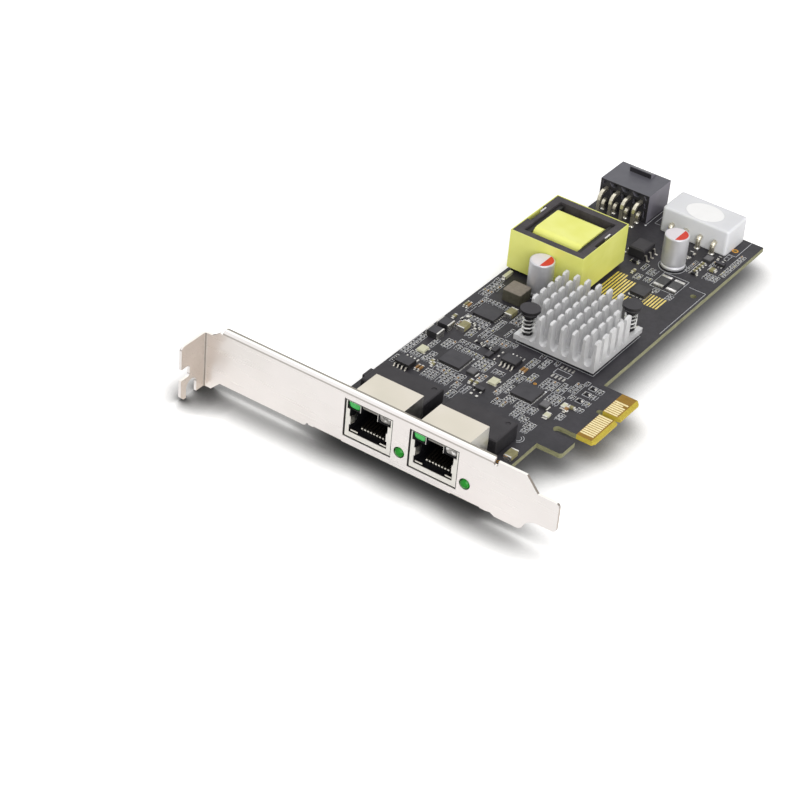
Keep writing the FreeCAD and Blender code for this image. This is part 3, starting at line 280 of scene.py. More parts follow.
def camera():
    data = bpy.data.cameras.new("camera")
    data.sensor_width = SENSOR_WIDTH
    data.lens = LENS
    data.clip_start = NEAREST_SEEN
    data.clip_end = FARTHEST_SEEN
    cam = bpy.data.objects.new("camera", data)
    turn = Matrix((CAMERA_RIGHT, CAMERA_UP, CAMERA_RIGHT.cross(CAMERA_UP))).transposed()
    cam.matrix_world = Matrix.Translation(place(*CAMERA_SPOT)) @ turn.to_4x4()
    bpy.context.scene.collection.objects.link(cam)
    bpy.context.scene.camera = cam


def area_light(name, spot, size, power, colour):
    """A rectangular light that looks at the middle of the scene."""
    data = bpy.data.lights.new(name, "AREA")
    data.shape = "RECTANGLE"
    data.size, data.size_y = size
    data.energy = power
    data.color = colour
    lamp = bpy.data.objects.new(name, data)
    lamp.location = spot
    lamp.rotation_euler = (-Vector(spot)).to_track_quat("-Z", "Y").to_euler()
    bpy.context.scene.collection.objects.link(lamp)


def world():
    """White to the camera, in gloss and through glass, a plain level of light for everything else."""
    sky = bpy.data.worlds.new("studio")
    bpy.context.scene.world = sky
    tree = Tree(sky)
    ray = tree.node("LightPath").outputs
    gloss = tree.math("MAXIMUM", ray["Is Camera Ray"], ray["Is Glossy Ray"])
    seen = tree.math("MAXIMUM", gloss, ray["Is Transmission Ray"])
    plain = tree.node("Background", Color=SKY_COLOUR, Strength=SKY_STRENGTH)
    white = tree.node("Background", Color=WHITE, Strength=1.0)
    tree.node("OutputWorld", Surface=tree.mix(seen, plain.outputs[0], white.outputs[0]))


def floor():
    """A pale floor that keeps the card's shadow, deepest where the card comes near it. Clear from below."""
    h = FLOOR_HALF
    mesh = bpy.data.meshes.new("floor")
    mesh.from_pydata([(-h, -h, 0), (h, -h, 0), (h, h, 0), (-h, h, 0)], [], [(0, 1, 2, 3)])
    ground = bpy.data.objects.new("floor", mesh)
    bpy.context.scene.collection.objects.link(ground)
    paint = bpy.data.materials.new("floor_white")
    tree = Tree(paint)
    surface = tree.node("NewGeometry").outputs
    wide = tree.math("POWER", tree.open_air(SHADOW_REACH, SHADOW_LEAN), SHADOW_DEPTH)
    near = tree.stretch(tree.open_air(BLADE_SHADOW_REACH, BLADE_SHADOW_LEAN), BLADE_SHADOW_CLOSED, 1.0,
                        BLADE_SHADOW_DARKEST, 1.0)
    start, end = (place(0, y, 0).y for y in BLADE_SHADOW_FADE)
    away = tree.stretch(tree.axis(surface["Position"], "Y"), start, end)
    both = tree.math("MULTIPLY", wide, tree.math("MAXIMUM", near, away))
    seen = tree.node("LightPath").outputs["Is Camera Ray"]
    shade = tree.math("MAXIMUM", both, tree.math("SUBTRACT", 1.0, seen))
    matt = tree.node("BsdfDiffuse", Color=tree.blend(shade, FLOOR_SHADED, FLOOR_PALE))
    lit = tree.math("MULTIPLY", seen, shade)
    glow = tree.node("Emission", Strength=tree.math("MULTIPLY", lit, FLOOR_GLOW))
    add = tree.node("AddShader")
    for socket, part in zip(add.inputs, (matt, glow)):
        tree.feed(socket, part.outputs[0])
    clear = tree.node("BsdfTransparent").outputs[0]
    tree.node("OutputMaterial", Surface=tree.mix(surface["Backfacing"], add.outputs[0], clear))
    mesh.materials.append(paint)


def studio():
    camera()
    world()
    floor()
    for light in LIGHTS:
        area_light(*light)
    bpy.context.scene.view_settings.view_transform = "Standard"


# Materials

# Places on the card where a finish changes.
# The contact wire is painted dark, as shade, behind and above these limits of its nose.
WIRE_NOSE_BACK = 3.3
WIRE_NOSE_TOP = 5.75
# The bracket flange's painted highlight ends this far back, with painted shade behind it.
FLANGE_HIGHLIGHT_BACK = 1.45
LAMINATE_FRONT = 41.7
LAMINATE_START = 100.9
TINNED_PADS_BACK = 80.0


def mottled(name, rgb, vary, scale, rough, soft, grain=2600.0, relief=0.1, side=None, shine=0.5, **values):
    """A finish whose colour and gloss drift a little over fine grain. side is a darker colour for upright
    faces, painted shade.
    """
    s = Shader(name)
    colour = s.drift(rgb, vary, scale)
    # Painted shade: upright faces take the darker side colour.
    if side:
        colour = s.blend(s.facing("Z"), s.drift(side, vary, scale), colour)
    return s.finish(colour, s.spread(s.noise(scale * 2.3), *rough),
                    s.bump(s.noise(grain, detail=2.0), relief, 0.00005, soft),
                    Specular_IOR_Level=shine, **values)


def nickel_steel():
    """Satin nickel plate, bright, with faint rolling marks along the strip. Painted shade darkens the screw
    tab, the neck bend, a crease at the top edge and the flange top, behind a painted highlight.
    """
    s = Shader("nickel_plated_steel")
    front = s.ramp(s.noise(35.0, detail=2.0), (0.3, linear(240, 236, 233)), (0.52, linear(245, 241, 239)),
                   (0.72, linear(247, 242, 240)))
    # Painted shade: faces turned along X, the screw tab, take a darker, warmer nickel.
    tab = s.math("GREATER_THAN", s.facing("X"), 0.9)
    front = s.blend(tab, front, s.drift((206, 196, 187), 6, 60.0))
    # Painted shade: a darker band where the blade starts to bend into its top flange.
    crease = s.window(s.facing("Z"), 0.04, 0.12, 0.3, 0.45)
    front = s.blend(crease, front, linear(176, 170, 164))
    # Painted shade: the bend between the blade and the screw tab is darker.
    bend_shade = s.window(s.facing("X"), 0.25, 0.45, 0.86, 0.9)
    front = s.blend(bend_shade, front, linear(150, 142, 134))
    # The flat flange top has a painted highlight along its front strip and painted shade, a grey nickel,
    # behind it.
    flat = s.math("GREATER_THAN", s.facing("Z"), 0.97)
    top = s.blend(s.side_of("Y", FLANGE_HIGHLIGHT_BACK), s.drift((250, 248, 242), 4, 60.0),
                  s.drift((150, 145, 136), 8, 60.0))
    rolled = s.noise((30.0, 2600.0, 2600.0))
    return s.finish(s.blend(flat, front, top), s.spread(rolled, 0.26, 0.34),
                    s.bump(rolled, 0.01, 0.00003, 0.12), Metallic=1.0)


def tin_plate():
    s = Shader("tin_plate")
    # Painted shade: faces that look up take a darker, warmer tin than the upright faces.
    top = s.ramp(s.noise(60.0, detail=2.0), (0.3, linear(216, 210, 195)), (0.55, linear(222, 215, 201)),
                 (0.75, linear(228, 221, 210)))
    rolled = s.noise((900.0, 40.0, 900.0))
    return s.finish(s.blend(s.facing("Z"), s.drift((238, 236, 230), 5, 60.0), top),
                    s.spread(rolled, 0.28, 0.34), s.bump(rolled, 0.008, 0.00003, 0.12), Metallic=1.0)


def bare_aluminium():
    """Sawn and tumbled heatsink metal."""
    s = Shader("tumbled_aluminium")
    return s.finish(s.drift((216, 216, 217), 8, 300.0),
                    s.spread(s.noise((400.0, 400.0, 2500.0)), 0.38, 0.55),
                    s.bump(s.noise(4200.0, detail=4.0), 0.1, 0.00005, 0.05), Metallic=0.45)


def can_aluminium():
    s = Shader("drawn_aluminium")
    drawn = s.noise((200.0, 200.0, 4000.0))
    return s.finish(s.drift((208, 208, 212), 6, 150.0), s.spread(drawn, 0.36, 0.42),
                    s.bump(drawn, 0.01, 0.00003, 0.15), Metallic=0.6)


def solder_mask():
    """Charcoal mask on both faces, bare laminate at the fingers, layered glass cloth on the edges."""
    s = Shader("charcoal_solder_mask")
    mask = s.between(s.noise(120.0, detail=4.0), (46, 45, 49), (58, 56, 61))
    layers = s.noise((300.0, 300.0, 9000.0))
    edge = s.ramp(layers, (0.35, linear(104, 104, 74)), (0.65, linear(150, 149, 114)))
    cloth = s.noise((500.0, 3000.0, 3000.0))
    bevel = s.between(cloth, (172, 150, 44), (198, 180, 68))
    face = s.between(cloth, (132, 98, 28), (164, 126, 38))
    bare = s.math("MULTIPLY", s.side_of("X", LAMINATE_START), s.side_of("Y", LAMINATE_FRONT))
    flat = s.math("GREATER_THAN", s.facing("Z"), 0.99)
    return s.finish(s.blend(flat, s.blend(bare, edge, bevel), s.blend(bare, mask, face)),
                    s.spread(s.noise(700.0), 0.42, 0.56), s.bump(s.noise(2600.0), 0.08, 0.00003, 0.08),
                    Specular_IOR_Level=0.3)


def plated(name, colour_of):
    """A gold-plated or tinned face. colour_of makes its colour in the shader."""
    s = Shader(name)
    return s.finish(colour_of(s), s.spread(s.noise(2000.0), 0.22, 0.36),
                    s.bump(s.noise(3000.0), 0.05, 0.00002, 0.03), Metallic=0.85)


def gold_plate(name, dark, light):
    return plated(name, lambda s: s.between(s.noise(900.0), dark, light))


def plated_copper():
    """Gold-plated stripes of the power stage. The empty pads nearer the front are tinned."""
    def colour(s):
        gold = s.between(s.noise(900.0), (226, 202, 112), (246, 226, 142))
        near = s.side_of("Y", TINNED_PADS_BACK, "LESS_THAN")
        return s.blend(near, gold, s.drift((212, 210, 204), 10, 900.0))
    return plated("plated_copper", colour)


def solder():
    s = Shader("bright_solder")
    return s.finish(s.between(s.noise(900.0), (205, 203, 196), (236, 234, 230)),
                    s.spread(s.noise(1600.0), 0.18, 0.34), s.bump(s.noise(1800.0), 0.25, 0.00004, 0.03),
                    Metallic=0.95)


def tinned(name, rgb, grain=0.05):
    """Bright plated metal of leads, pins, springs and clips."""
    s = Shader(name)
    return s.finish(s.drift(rgb, 8, 500.0), s.spread(s.noise(1200.0), 0.24, 0.36),
                    s.bump(s.noise(2600.0), grain, 0.00003, 0.1), Metallic=0.9)


def contact_wire():
    """Gold-flashed wire, bright at its nose, with painted shade making it near black behind and above the
    nose.
    """
    s = Shader("contact_wire")
    front = s.side_of("Y", WIRE_NOSE_BACK, "LESS_THAN")
    low = s.side_of("Z", WIRE_NOSE_TOP, "LESS_THAN")
    # Painted shade: the wire is near black away from its nose.
    colour = s.blend(s.math("MULTIPLY", front, low), s.drift((34, 30, 24), 8, 900.0),
                     s.drift((236, 232, 220), 10, 900.0))
    return s.finish(colour, s.spread(s.noise(1200.0), 0.3, 0.4),
                    s.bump(s.noise(2600.0), 0.03, 0.00002, 0.04), Metallic=0.6)


def ferrite():
    """Ground ferrite: charcoal with fine pits and paler specks."""
    s = Shader("ground_ferrite")
    speck = s.noise(3800.0, detail=2.0)
    base = s.between(s.noise(260.0, detail=4.0), (58, 54, 57), (76, 72, 75))
    colour = s.blend(s.ramp(speck, (0.62, BLACK), (0.72, WHITE)), base, linear(96, 92, 93))
    return s.finish(colour, s.spread(speck, 0.5, 0.75),
                    s.bump(s.noise(2400.0, detail=5.0), 0.2, 0.00006, 0.15), Specular_IOR_Level=0.3)


def polyester_tape(name, dark, light, gloss):
    """Yellow film tape: smooth, a little clear, with faint stretch marks."""
    s = Shader(name)
    crease = s.noise((60.0, 60.0, 1100.0), detail=2.0)
    return s.finish(s.between(s.noise(110.0, detail=2.0), dark, light),
                    s.spread(crease, gloss, gloss + 0.14),
                    s.bump(crease, 0.12, 0.00012, 0.1), Coat_Weight=0.3, Coat_Roughness=0.2)


def header_nylon():
    """Black nylon: greyer on top and on its right side, which the light meets, than on its front."""
    s = Shader("black_nylon")
    other = s.blend(s.facing("Y"), s.drift((118, 115, 125), 6, 90.0), s.drift((40, 39, 43), 4, 120.0))
    return s.finish(s.blend(s.facing("Z"), other, s.drift((92, 92, 99), 5, 120.0)),
                    s.spread(s.noise(280.0), 0.34, 0.44),
                    s.bump(s.noise(1400.0, detail=2.0), 0.06, 0.00005, 0.2), Specular_IOR_Level=0.35)


def clear_lamp():
    """Clear plastic in front of a dark body, with pale painted highlights scattered through it by noise."""
    s = Shader("port_clear")
    colour = s.ramp(s.noise(620.0, detail=2.0), (0.36, linear(98, 96, 93)), (0.55, linear(150, 147, 143)),
                    (0.66, linear(232, 231, 230)))
    return s.finish(colour, s.spread(s.noise(1200.0), 0.14, 0.22),
                    s.bump(s.noise(1500.0), 0.02, 0.00002, 0.15), Coat_Weight=0.25, Coat_Roughness=0.05)


# Every finish on the card, by name.
M = {
    "nickel": nickel_steel(),
    "tin": tin_plate(),
    "heatsink": bare_aluminium(),
    "can": can_aluminium(),
    "mask": solder_mask(),
    "gold": gold_plate("gold_plate", (239, 221, 166), (255, 241, 190)),
    "ring_gold": gold_plate("ring_gold", (220, 156, 60), (236, 176, 84)),
    "copper_gold": plated_copper(),
    "wire": contact_wire(),
    "solder": solder(),
    "lead": tinned("tinned_lead", (226, 222, 212)),
    "pin": tinned("power_pin_tin", (214, 208, 190), grain=0.01),
    "spring": tinned("spring_wire", (222, 222, 220)),
    "clip": tinned("clip_steel", (224, 222, 222)),
    "ferrite": ferrite(),
    "tape": polyester_tape("outer_tape", (226, 228, 112), (236, 238, 132), 0.32),
    "winding": polyester_tape("winding_tape", (234, 236, 104), (244, 246, 136), 0.28),
    "header": header_nylon(),
    "clear_lamp": clear_lamp(),
    "white_nylon": mottled("white_nylon", (227, 228, 231), 4, 70.0, (0.42, 0.56), 0.5, 1300.0, 0.06,
                           Subsurface_Weight=0.35, Subsurface_Radius=(0.9, 0.9, 1.0),
                           Subsurface_Scale=0.0012),
    # The port green lamp's faint emission is a painted glow that brightens its green.
    "green_lamp": mottled("port_green", (64, 172, 84), 16, 500.0, (0.14, 0.22), 0.15, 1500.0, 0.02,
                          Coat_Weight=0.25, Coat_Roughness=0.05, shine=0.3,
                          Emission_Color=linear(90, 230, 110), Emission_Strength=0.06),
    "green_panel": mottled("panel_green", (10, 124, 20), 10, 500.0, (0.2, 0.28), 0.15, 1500.0, 0.02,
                           shine=0.35),
    "ink": mottled("silkscreen_ink", (214, 216, 220), 14, 1500.0, (0.5, 0.7), 0.0, 1500.0, 0.08),
    "black": mottled("moulded_black", (30, 30, 33), 5, 200.0, (0.36, 0.5), 0.1, 1600.0, 0.08, shine=0.25),
    "jack": mottled("jack_black", (16, 16, 19), 3, 200.0, (0.4, 0.5), 0.1, 1600.0, 0.05, shine=0.15),
    # Where a finish below has a side colour, its upright faces are painted in shade.
    "module": mottled("module_resin", (58, 56, 59), 4, 150.0, (0.5, 0.62), 0.15, side=(38, 37, 40),
                      shine=0.25),
    "chip": mottled("chip_resin", (65, 64, 68), 5, 240.0, (0.45, 0.58), 0.08, 3200.0, side=(36, 35, 37),
                    shine=0.3),
    "pin_head": mottled("push_pin_black", (50, 48, 52), 4, 240.0, (0.35, 0.48), 0.2, 1800.0, 0.06,
                        side=(30, 29, 31), shine=0.3),
    "inductor": mottled("pressed_powder", (138, 130, 120), 6, 900.0, (0.6, 0.75), 0.15, 3600.0, 0.2,
                        side=(78, 76, 64), shine=0.3),
    "choke": mottled("choke_grey", (108, 107, 109), 6, 900.0, (0.5, 0.62), 0.08, 3600.0, 0.15,
                     side=(66, 66, 66), shine=0.3),
    "bobbin": mottled("bobbin_phenolic", (34, 32, 30), 5, 300.0, (0.38, 0.52), 0.12, 1800.0, shine=0.3),
    "cream": mottled("cream_ceramic", (208, 207, 180), 7, 600.0, (0.34, 0.46), 0.08, relief=0.08),
    "olive": mottled("olive_ceramic", (142, 136, 96), 14, 900.0, (0.4, 0.52), 0.06),
    "tan": mottled("tan_ceramic", (150, 112, 62), 18, 900.0, (0.4, 0.52), 0.06),
    "resistor": mottled("resistor_glaze", (30, 29, 33), 6, 900.0, (0.3, 0.4), 0.04, relief=0.05, shine=0.3),
    "shunt": mottled("shunt_glaze", (60, 60, 61), 8, 500.0, (0.4, 0.52), 0.08),
    "pad": mottled("thermal_pad_grey", (150, 152, 156), 8, 500.0, (0.7, 0.85), 0.1, relief=0.2),
    "rubber": mottled("seal_rubber", (32, 31, 31), 4, 500.0, (0.6, 0.75), 0.1, relief=0.2),
    "lip": mottled("mouth_lip_grey", (128, 125, 120), 14, 500.0, (0.3, 0.45), 0.06, relief=0.05),
    "red": mottled("red_sleeve_ink", (212, 58, 38), 6, 300.0, (0.4, 0.5), 0.05, relief=0.04, shine=0.3),
    "cap_white": mottled("cap_top_lacquer", (228, 222, 226), 5, 300.0, (0.34, 0.44), 0.05, relief=0.04),
    "sticker": mottled("white_film", (250, 250, 250), 2, 300.0, (0.4, 0.5), 0.05, relief=0.03),
}

CAD_FINISH = {
    "mounting_bracket": "nickel", "bracket_screws": "nickel", "circuit_board": "mask",
    "edge_contacts_top": "gold", "edge_contacts_bottom": "gold", "exposed_copper": "copper_gold",
    "heatsink": "heatsink", "bridge_chip": "chip", "thermal_pad": "pad",
    "transformer_core_left": "ferrite", "transformer_core_right": "ferrite", "transformer_bobbin": "bobbin",
    "transformer_pins": "pin", "transformer_winding": "winding", "transformer_tape": "tape",
    "transformer_clips": "clip", "power_header": "header", "power_header_pins": "pin",
    "drive_header": "white_nylon", "drive_header_pins": "pin", "power_inductor": "inductor",
    "network_chips": "chip", "power_chips": "chip", "memory_chips": "chip", "optocoupler": "module",
    "chip_leads": "lead", "crystals": "cream", "chokes": "choke", "transistors": "chip", "diodes": "chip",
    "shunt_resistors": "shunt", "ceramic_capacitors": "olive", "end_caps": "solder",
    "port_housing": "jack", "port_shield": "tin", "port_wires": "wire", "port_green_lamp": "green_lamp",
    "port_clear_lamp": "clear_lamp", "panel_lamp": "green_panel", "panel_lamp_holder": "black",
    "magnetics": "module", "magnetics_leads": "lead", "push_pin": "pin_head", "push_pin_spring": "spring",
    "capacitor_can": "can", "capacitor_seal": "rubber",
}


def dress_nodes():
    """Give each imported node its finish. Numbered nodes share the finish of their family."""
    for name, node in NODES.items():
        family = name[:-2] if name[-2:] in ("_1", "_2") else name
        for slot in node.material_slots:
            slot.material = M[CAD_FINISH[family]]


# Mesh building

INK_TOP = BOARD_TOP + 0.025
INK_WIDTH = 0.13
FINE_WIDTH = 0.11
RING_RISE = 0.04


class Build:
    """Collects faces in card millimetres, each with one of the build's finishes."""

    def __init__(self, *finishes):
        self.finishes = finishes
        self.verts = []
        self.faces = []
        self.marks = []

    def form(self, finish, rings):
        """A closed form through rings of corners, each ring with the same number of corners."""
        start = len(self.verts)
        sides = len(rings[0])
        last = (len(rings) - 1) * sides
        faces = [tuple(reversed(range(sides))), tuple(range(last, last + sides))]
        for k in range(len(rings) - 1):
            for i in range(sides):
                j = (i + 1) % sides
                faces.append((k * sides + i, k * sides + j, (k + 1) * sides + j, (k + 1) * sides + i))
        self.verts += [corner for ring in rings for corner in ring]
        self.faces += [tuple(start + i for i in face) for face in faces]
        self.marks += [self.finishes.index(finish)] * len(faces)

    def block(self, finish, centre, size, z0, z1, chamfer=0.0, turn=0.0):
        """A box over a spot, with chamfered top edges, turned about Z by degrees."""
        cx, cy = centre
        c, s = math.cos(math.radians(turn)), math.sin(math.radians(turn))

        def ring(inset, z):
            hx, hy = size[0] / 2 - inset, size[1] / 2 - inset
            return [(cx + x * c - y * s, cy + x * s + y * c, z)
                    for x, y in ((-hx, -hy), (hx, -hy), (hx, hy), (-hx, hy))]
        top = [ring(0, z1 - chamfer), ring(chamfer, z1)] if chamfer else [ring(0, z1)]
        self.form(finish, [ring(0, z0)] + top)

    def on_board(self, finish, centre, size, rise, chamfer, turn=0.0):
        """A chamfered block that stands on the board."""
        self.block(finish, centre, size, BOARD_TOP, BOARD_TOP + rise, chamfer, turn)

    def upright(self, finish, x0, x1, y0, y1, z0, z1, chamfer=0.0):
        """A strip that faces the front, with its front edges chamfered."""
        self.form(finish, [[(x0 + inset, y, z0 + inset), (x1 - inset, y, z0 + inset),
                            (x1 - inset, y, z1 - inset), (x0 + inset, y, z1 - inset)]
                           for y, inset in ((y1, 0.0), (y0 + chamfer, 0.0), (y0, chamfer))])

    def line(self, x0, y0, x1, y1, width=INK_WIDTH):
        """A line printed on the board."""
        run = math.hypot(x1 - x0, y1 - y0)
        turn = math.degrees(math.atan2(y1 - y0, x1 - x0))
        self.block("ink", ((x0 + x1) / 2, (y0 + y1) / 2), (run + width, width), BOARD_TOP, INK_TOP,
                   turn=turn)

    def frame(self, x0, x1, y0, y1):
        """A rectangle printed on the board."""
        for y in (y0, y1):
            self.line(x0, y, x1, y)
        for x in (x0, x1):
            self.line(x, y0, x, y1)

    def lathe(self, finish, x, y, profile, steps):
        """A round piece about a vertical axis. profile is (radius, z) from one end to the other."""
        angles = [2 * math.pi * i / steps for i in range(steps)]
        self.form(finish, [[(x + r * math.cos(a), y + r * math.sin(a), z) for a in angles]
                           for r, z in profile])

    def arc_line(self, finish, x, y, radius, start, end, width, z0, z1, steps):
        """A flat curved line, from one angle to another in degrees."""
        inner, outer = radius - width / 2, radius + width / 2
        rings = []
        for i in range(steps + 1):
            a = math.radians(start + (end - start) * i / steps)
            rings.append([(x + r * math.cos(a), y + r * math.sin(a), z)
                          for r, z in ((inner, z0), (outer, z0), (outer, z1), (inner, z1))])
        self.form(finish, rings)

    def finish_object(self, name, smooth=False):
        mesh = bpy.data.meshes.new(name)
        mesh.from_pydata([tuple(place(*v)) for v in self.verts], [], self.faces)
        for finish in self.finishes:
            mesh.materials.append(M[finish])
        for polygon, mark in zip(mesh.polygons, self.marks):
            polygon.material_index = mark
            polygon.use_smooth = smooth
        fix = bmesh.new()
        fix.from_mesh(mesh)
        bmesh.ops.recalc_face_normals(fix, faces=fix.faces)
        fix.to_mesh(mesh)
        fix.free()
        piece = bpy.data.objects.new(name, mesh)
        bpy.context.scene.collection.objects.link(piece)
        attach(piece, "root")


def solid_boxes(node):
    """The box of each separate solid in a node, in card millimetres."""
    mesh = NODES[node].data
    at_spot = {}
    for v in mesh.vertices:
        at_spot.setdefault(tuple(round(c, 6) for c in v.co), []).append(v.index)
    parent = list(range(len(mesh.vertices)))

    def root(i):
        while parent[i] != i:
            parent[i] = parent[parent[i]]
            i = parent[i]
        return i
    for group in at_spot.values():
        for other in group[1:]:
            parent[root(other)] = root(group[0])
    for edge in mesh.edges:
        parent[root(edge.vertices[0])] = root(edge.vertices[1])
    solids = {}
    for v in mesh.vertices:
        solids.setdefault(root(v.index), []).append((v.co - ORIGIN) / MM)
    boxes = [(Vector([min(p[k] for p in points) for k in range(3)]),
              Vector([max(p[k] for p in points) for k in range(3)])) for points in solids.values()]
    return sorted(boxes, key=lambda b: (round(b[0].x, 3), round(b[0].y, 3)))


# The small parts on the board

# Pitches in a field: parts across, parts front to back, and printed ticks before them.
SMALL_PITCH = 1.22
SMALL_RUN = 1.72
TICK_PITCH = 0.72
# A tick leans over this much, and lies this far before the field.
TICK_HALF_LEAN = 0.08
TICK_START, TICK_END = 0.45, 0.2
# The half sides of a part's printed frame, as shares of the pitch.
FRAME_HALF_X, FRAME_HALF_Y = 0.38, 0.44
# The shares drawn with a fixed seed: of ticks and of frames' short sides that are printed, of places
# that have a resistor, and of places that have any part.
SEED = 7
TICK_SHARE = 0.7
SHORT_SIDE_SHARE = 0.6
RESISTOR_SHARE, PART_SHARE = 0.62, 0.9
RESISTOR_HEIGHT, PART_HEIGHT = 0.22, 0.36

# Fields of small chip parts, standing side by side: left, right, front and back of each field.
FIELDS = [
    (39.7, 42.1, 43.0, 54.5), (40.2, 41.8, 37.0, 41.0), (42.5, 48.0, 43.6, 45.6), (44.4, 46.3, 50.2, 55.0),
    (47.2, 49.4, 43.5, 49.0), (51.0, 55.5, 37.0, 41.2), (52.0, 56.0, 42.0, 44.8), (56.0, 60.0, 37.2, 44.5),
    (60.0, 62.3, 41.5, 44.8), (61.0, 63.2, 37.5, 41.0), (62.0, 64.5, 33.0, 37.0), (64.0, 66.2, 37.3, 41.3),
    (64.8, 66.8, 45.2, 49.0), (60.0, 65.0, 50.0, 56.2), (66.0, 70.0, 51.5, 53.6), (72.0, 74.0, 43.0, 52.0),
    (74.2, 75.5, 45.5, 50.0), (74.0, 78.2, 39.0, 42.0), (76.0, 79.3, 42.2, 44.8), (80.0, 86.8, 41.5, 44.8),
    (81.3, 84.4, 37.2, 41.4), (84.5, 87.0, 36.7, 39.5), (87.2, 90.3, 34.8, 38.2), (87.8, 90.0, 32.8, 34.8),
    (92.0, 94.2, 44.2, 47.5), (94.6, 96.8, 51.3, 53.3), (94.6, 96.7, 54.8, 57.3), (94.6, 96.7, 59.0, 61.3),
    (94.6, 96.7, 62.4, 64.8), (89.7, 91.6, 55.0, 57.3), (88.0, 90.8, 58.0, 63.5), (89.8, 91.5, 63.7, 65.8),
    (85.2, 87.8, 55.0, 60.8), (85.0, 89.6, 49.5, 54.5), (80.2, 84.8, 54.3, 59.8), (75.8, 77.9, 54.3, 59.0),
    (72.0, 75.6, 52.2, 56.0), (71.8, 74.3, 60.5, 65.5), (75.0, 77.0, 62.5, 68.0), (72.7, 74.5, 67.0, 69.0),
    (77.8, 79.5, 66.5, 68.5), (47.2, 50.4, 52.9, 57.5), (50.3, 57.0, 57.8, 59.8), (51.0, 55.0, 54.3, 56.8),
    (55.0, 59.8, 54.5, 56.5), (56.2, 60.0, 62.3, 67.8), (53.0, 55.8, 64.0, 70.0), (49.8, 52.8, 68.7, 72.0),
    (44.2, 49.8, 69.9, 72.1), (60.2, 63.0, 64.0, 68.0), (58.8, 60.2, 69.0, 74.0), (63.1, 65.0, 66.0, 68.2),
    (54.0, 56.0, 70.2, 76.0), (44.2, 53.0, 81.0, 83.2), (43.1, 44.9, 77.0, 83.0), (42.6, 44.4, 73.0, 77.0),
    (56.2, 60.0, 76.2, 83.0), (40.4, 44.0, 83.5, 87.0), (40.5, 44.5, 87.5, 92.5), (40.2, 43.0, 92.7, 94.6),
    (91.5, 93.6, 141.0, 156.0), (88.0, 89.8, 150.4, 153.8), (88.0, 92.9, 136.7, 140.3),
    (81.8, 83.2, 136.6, 144.0), (86.5, 87.8, 144.0, 147.5), (71.5, 74.0, 122.3, 125.5),
    (74.8, 77.3, 123.2, 125.7), (73.5, 76.5, 127.2, 131.0), (70.8, 72.6, 128.2, 132.0),
    (79.8, 82.0, 119.8, 121.6), (85.0, 87.2, 118.8, 121.4), (49.6, 52.0, 62.0, 66.0),
    (44.4, 46.0, 63.9, 67.6),
]

# Outlined parts on the finger tab: x and y of the middle, the half sides of their outline, and the
# turn, length, width, height and finish that they share.
OUTLINED = [(93.2, 63.6), (93.2, 60.1), (93.2, 56.1)]
OUTLINE_HALF_X, OUTLINE_HALF_Y = 1.05, 1.1
OUTLINED_PART = (90, 1.6, 0.8, 0.42, "resistor")

# Chip parts big enough to stand out: x, y, turn, length, width, height, finish.
LARGER_PARTS = [
    (49.75, 39.2, 0, 2.8, 0.6, 0.6, "tan"), (48.6, 39.2, 0, 2.8, 0.6, 0.5, "tan"),
    (50.3, 44.3, 0, 1.9, 0.9, 0.6, "olive"), (51.3, 43.2, 0, 1.9, 0.8, 0.6, "olive"),
    (64.3, 43.4, 0, 1.9, 0.9, 0.6, "olive"), (66.0, 43.6, 0, 1.9, 0.9, 0.6, "olive"),
    (90.0, 43.5, 0, 2.6, 1.6, 0.8, "cream"), (91.4, 50.6, 0, 2.4, 1.4, 0.8, "cream"),
    (92.6, 49.5, 0, 2.4, 0.9, 0.8, "tan"), (93.4, 51.4, 90, 2.0, 1.0, 0.7, "olive"),
    (72.5, 58.1, 0, 3.0, 0.6, 0.6, "tan"), (73.5, 58.1, 0, 3.0, 0.6, 0.6, "tan"),
    (41.2, 75.8, 0, 3.0, 0.6, 0.6, "olive"), (42.2, 75.8, 0, 3.0, 0.6, 0.6, "tan"),
    (42.25, 96.9, 0, 4.6, 1.2, 1.1, "cream"), (42.2, 68.0, 0, 2.0, 0.9, 0.6, "olive"),
    (84.8, 143.5, 90, 1.6, 0.8, 0.7, "olive"), (84.8, 141.8, 90, 1.6, 0.8, 0.7, "olive"),
    (84.8, 139.9, 90, 1.6, 0.8, 0.7, "olive"), (84.8, 138.1, 90, 1.6, 0.8, 0.7, "olive"),
    (85.2, 136.5, 90, 2.3, 0.9, 0.7, "resistor"), (88.8, 142.2, 90, 2.2, 1.6, 0.8, "olive"),
    (79.0, 144.9, 0, 3.8, 1.3, 0.9, "resistor"), (87.0, 149.8, 0, 1.7, 0.8, 0.5, "resistor"),
    (89.1, 149.0, 0, 1.7, 0.8, 0.5, "resistor"), (45.6, 68.6, 90, 2.4, 1.1, 0.5, "resistor"),
    (48.0, 68.4, 90, 2.2, 1.1, 0.5, "resistor"), (58.6, 60.9, 90, 2.4, 1.1, 0.5, "resistor"),
    (55.3, 61.3, 90, 2.2, 1.0, 0.5, "resistor"), (67.9, 130.3, 90, 2.4, 1.3, 0.9, "resistor"),
    (50.6, 67.3, 90, 1.9, 0.9, 0.6, "resistor"), (70.3, 125.4, 0, 2.0, 0.9, 0.6, "olive"),
]

# A chip part's metal ends and solder feet: the end's length, the chamfer, the foot's length, how far
# its middle lies past the part, its share of the part's height, and its chamfer.
OUTLINED_ENDS = dict(end=0.24, edge=0.04, foot=0.3, foot_out=0.1, foot_share=0.45, foot_edge=0.08)
LARGER_ENDS = dict(end=0.4, edge=0.08, foot=0.4, foot_out=0.15, foot_share=0.4, foot_edge=0.14)

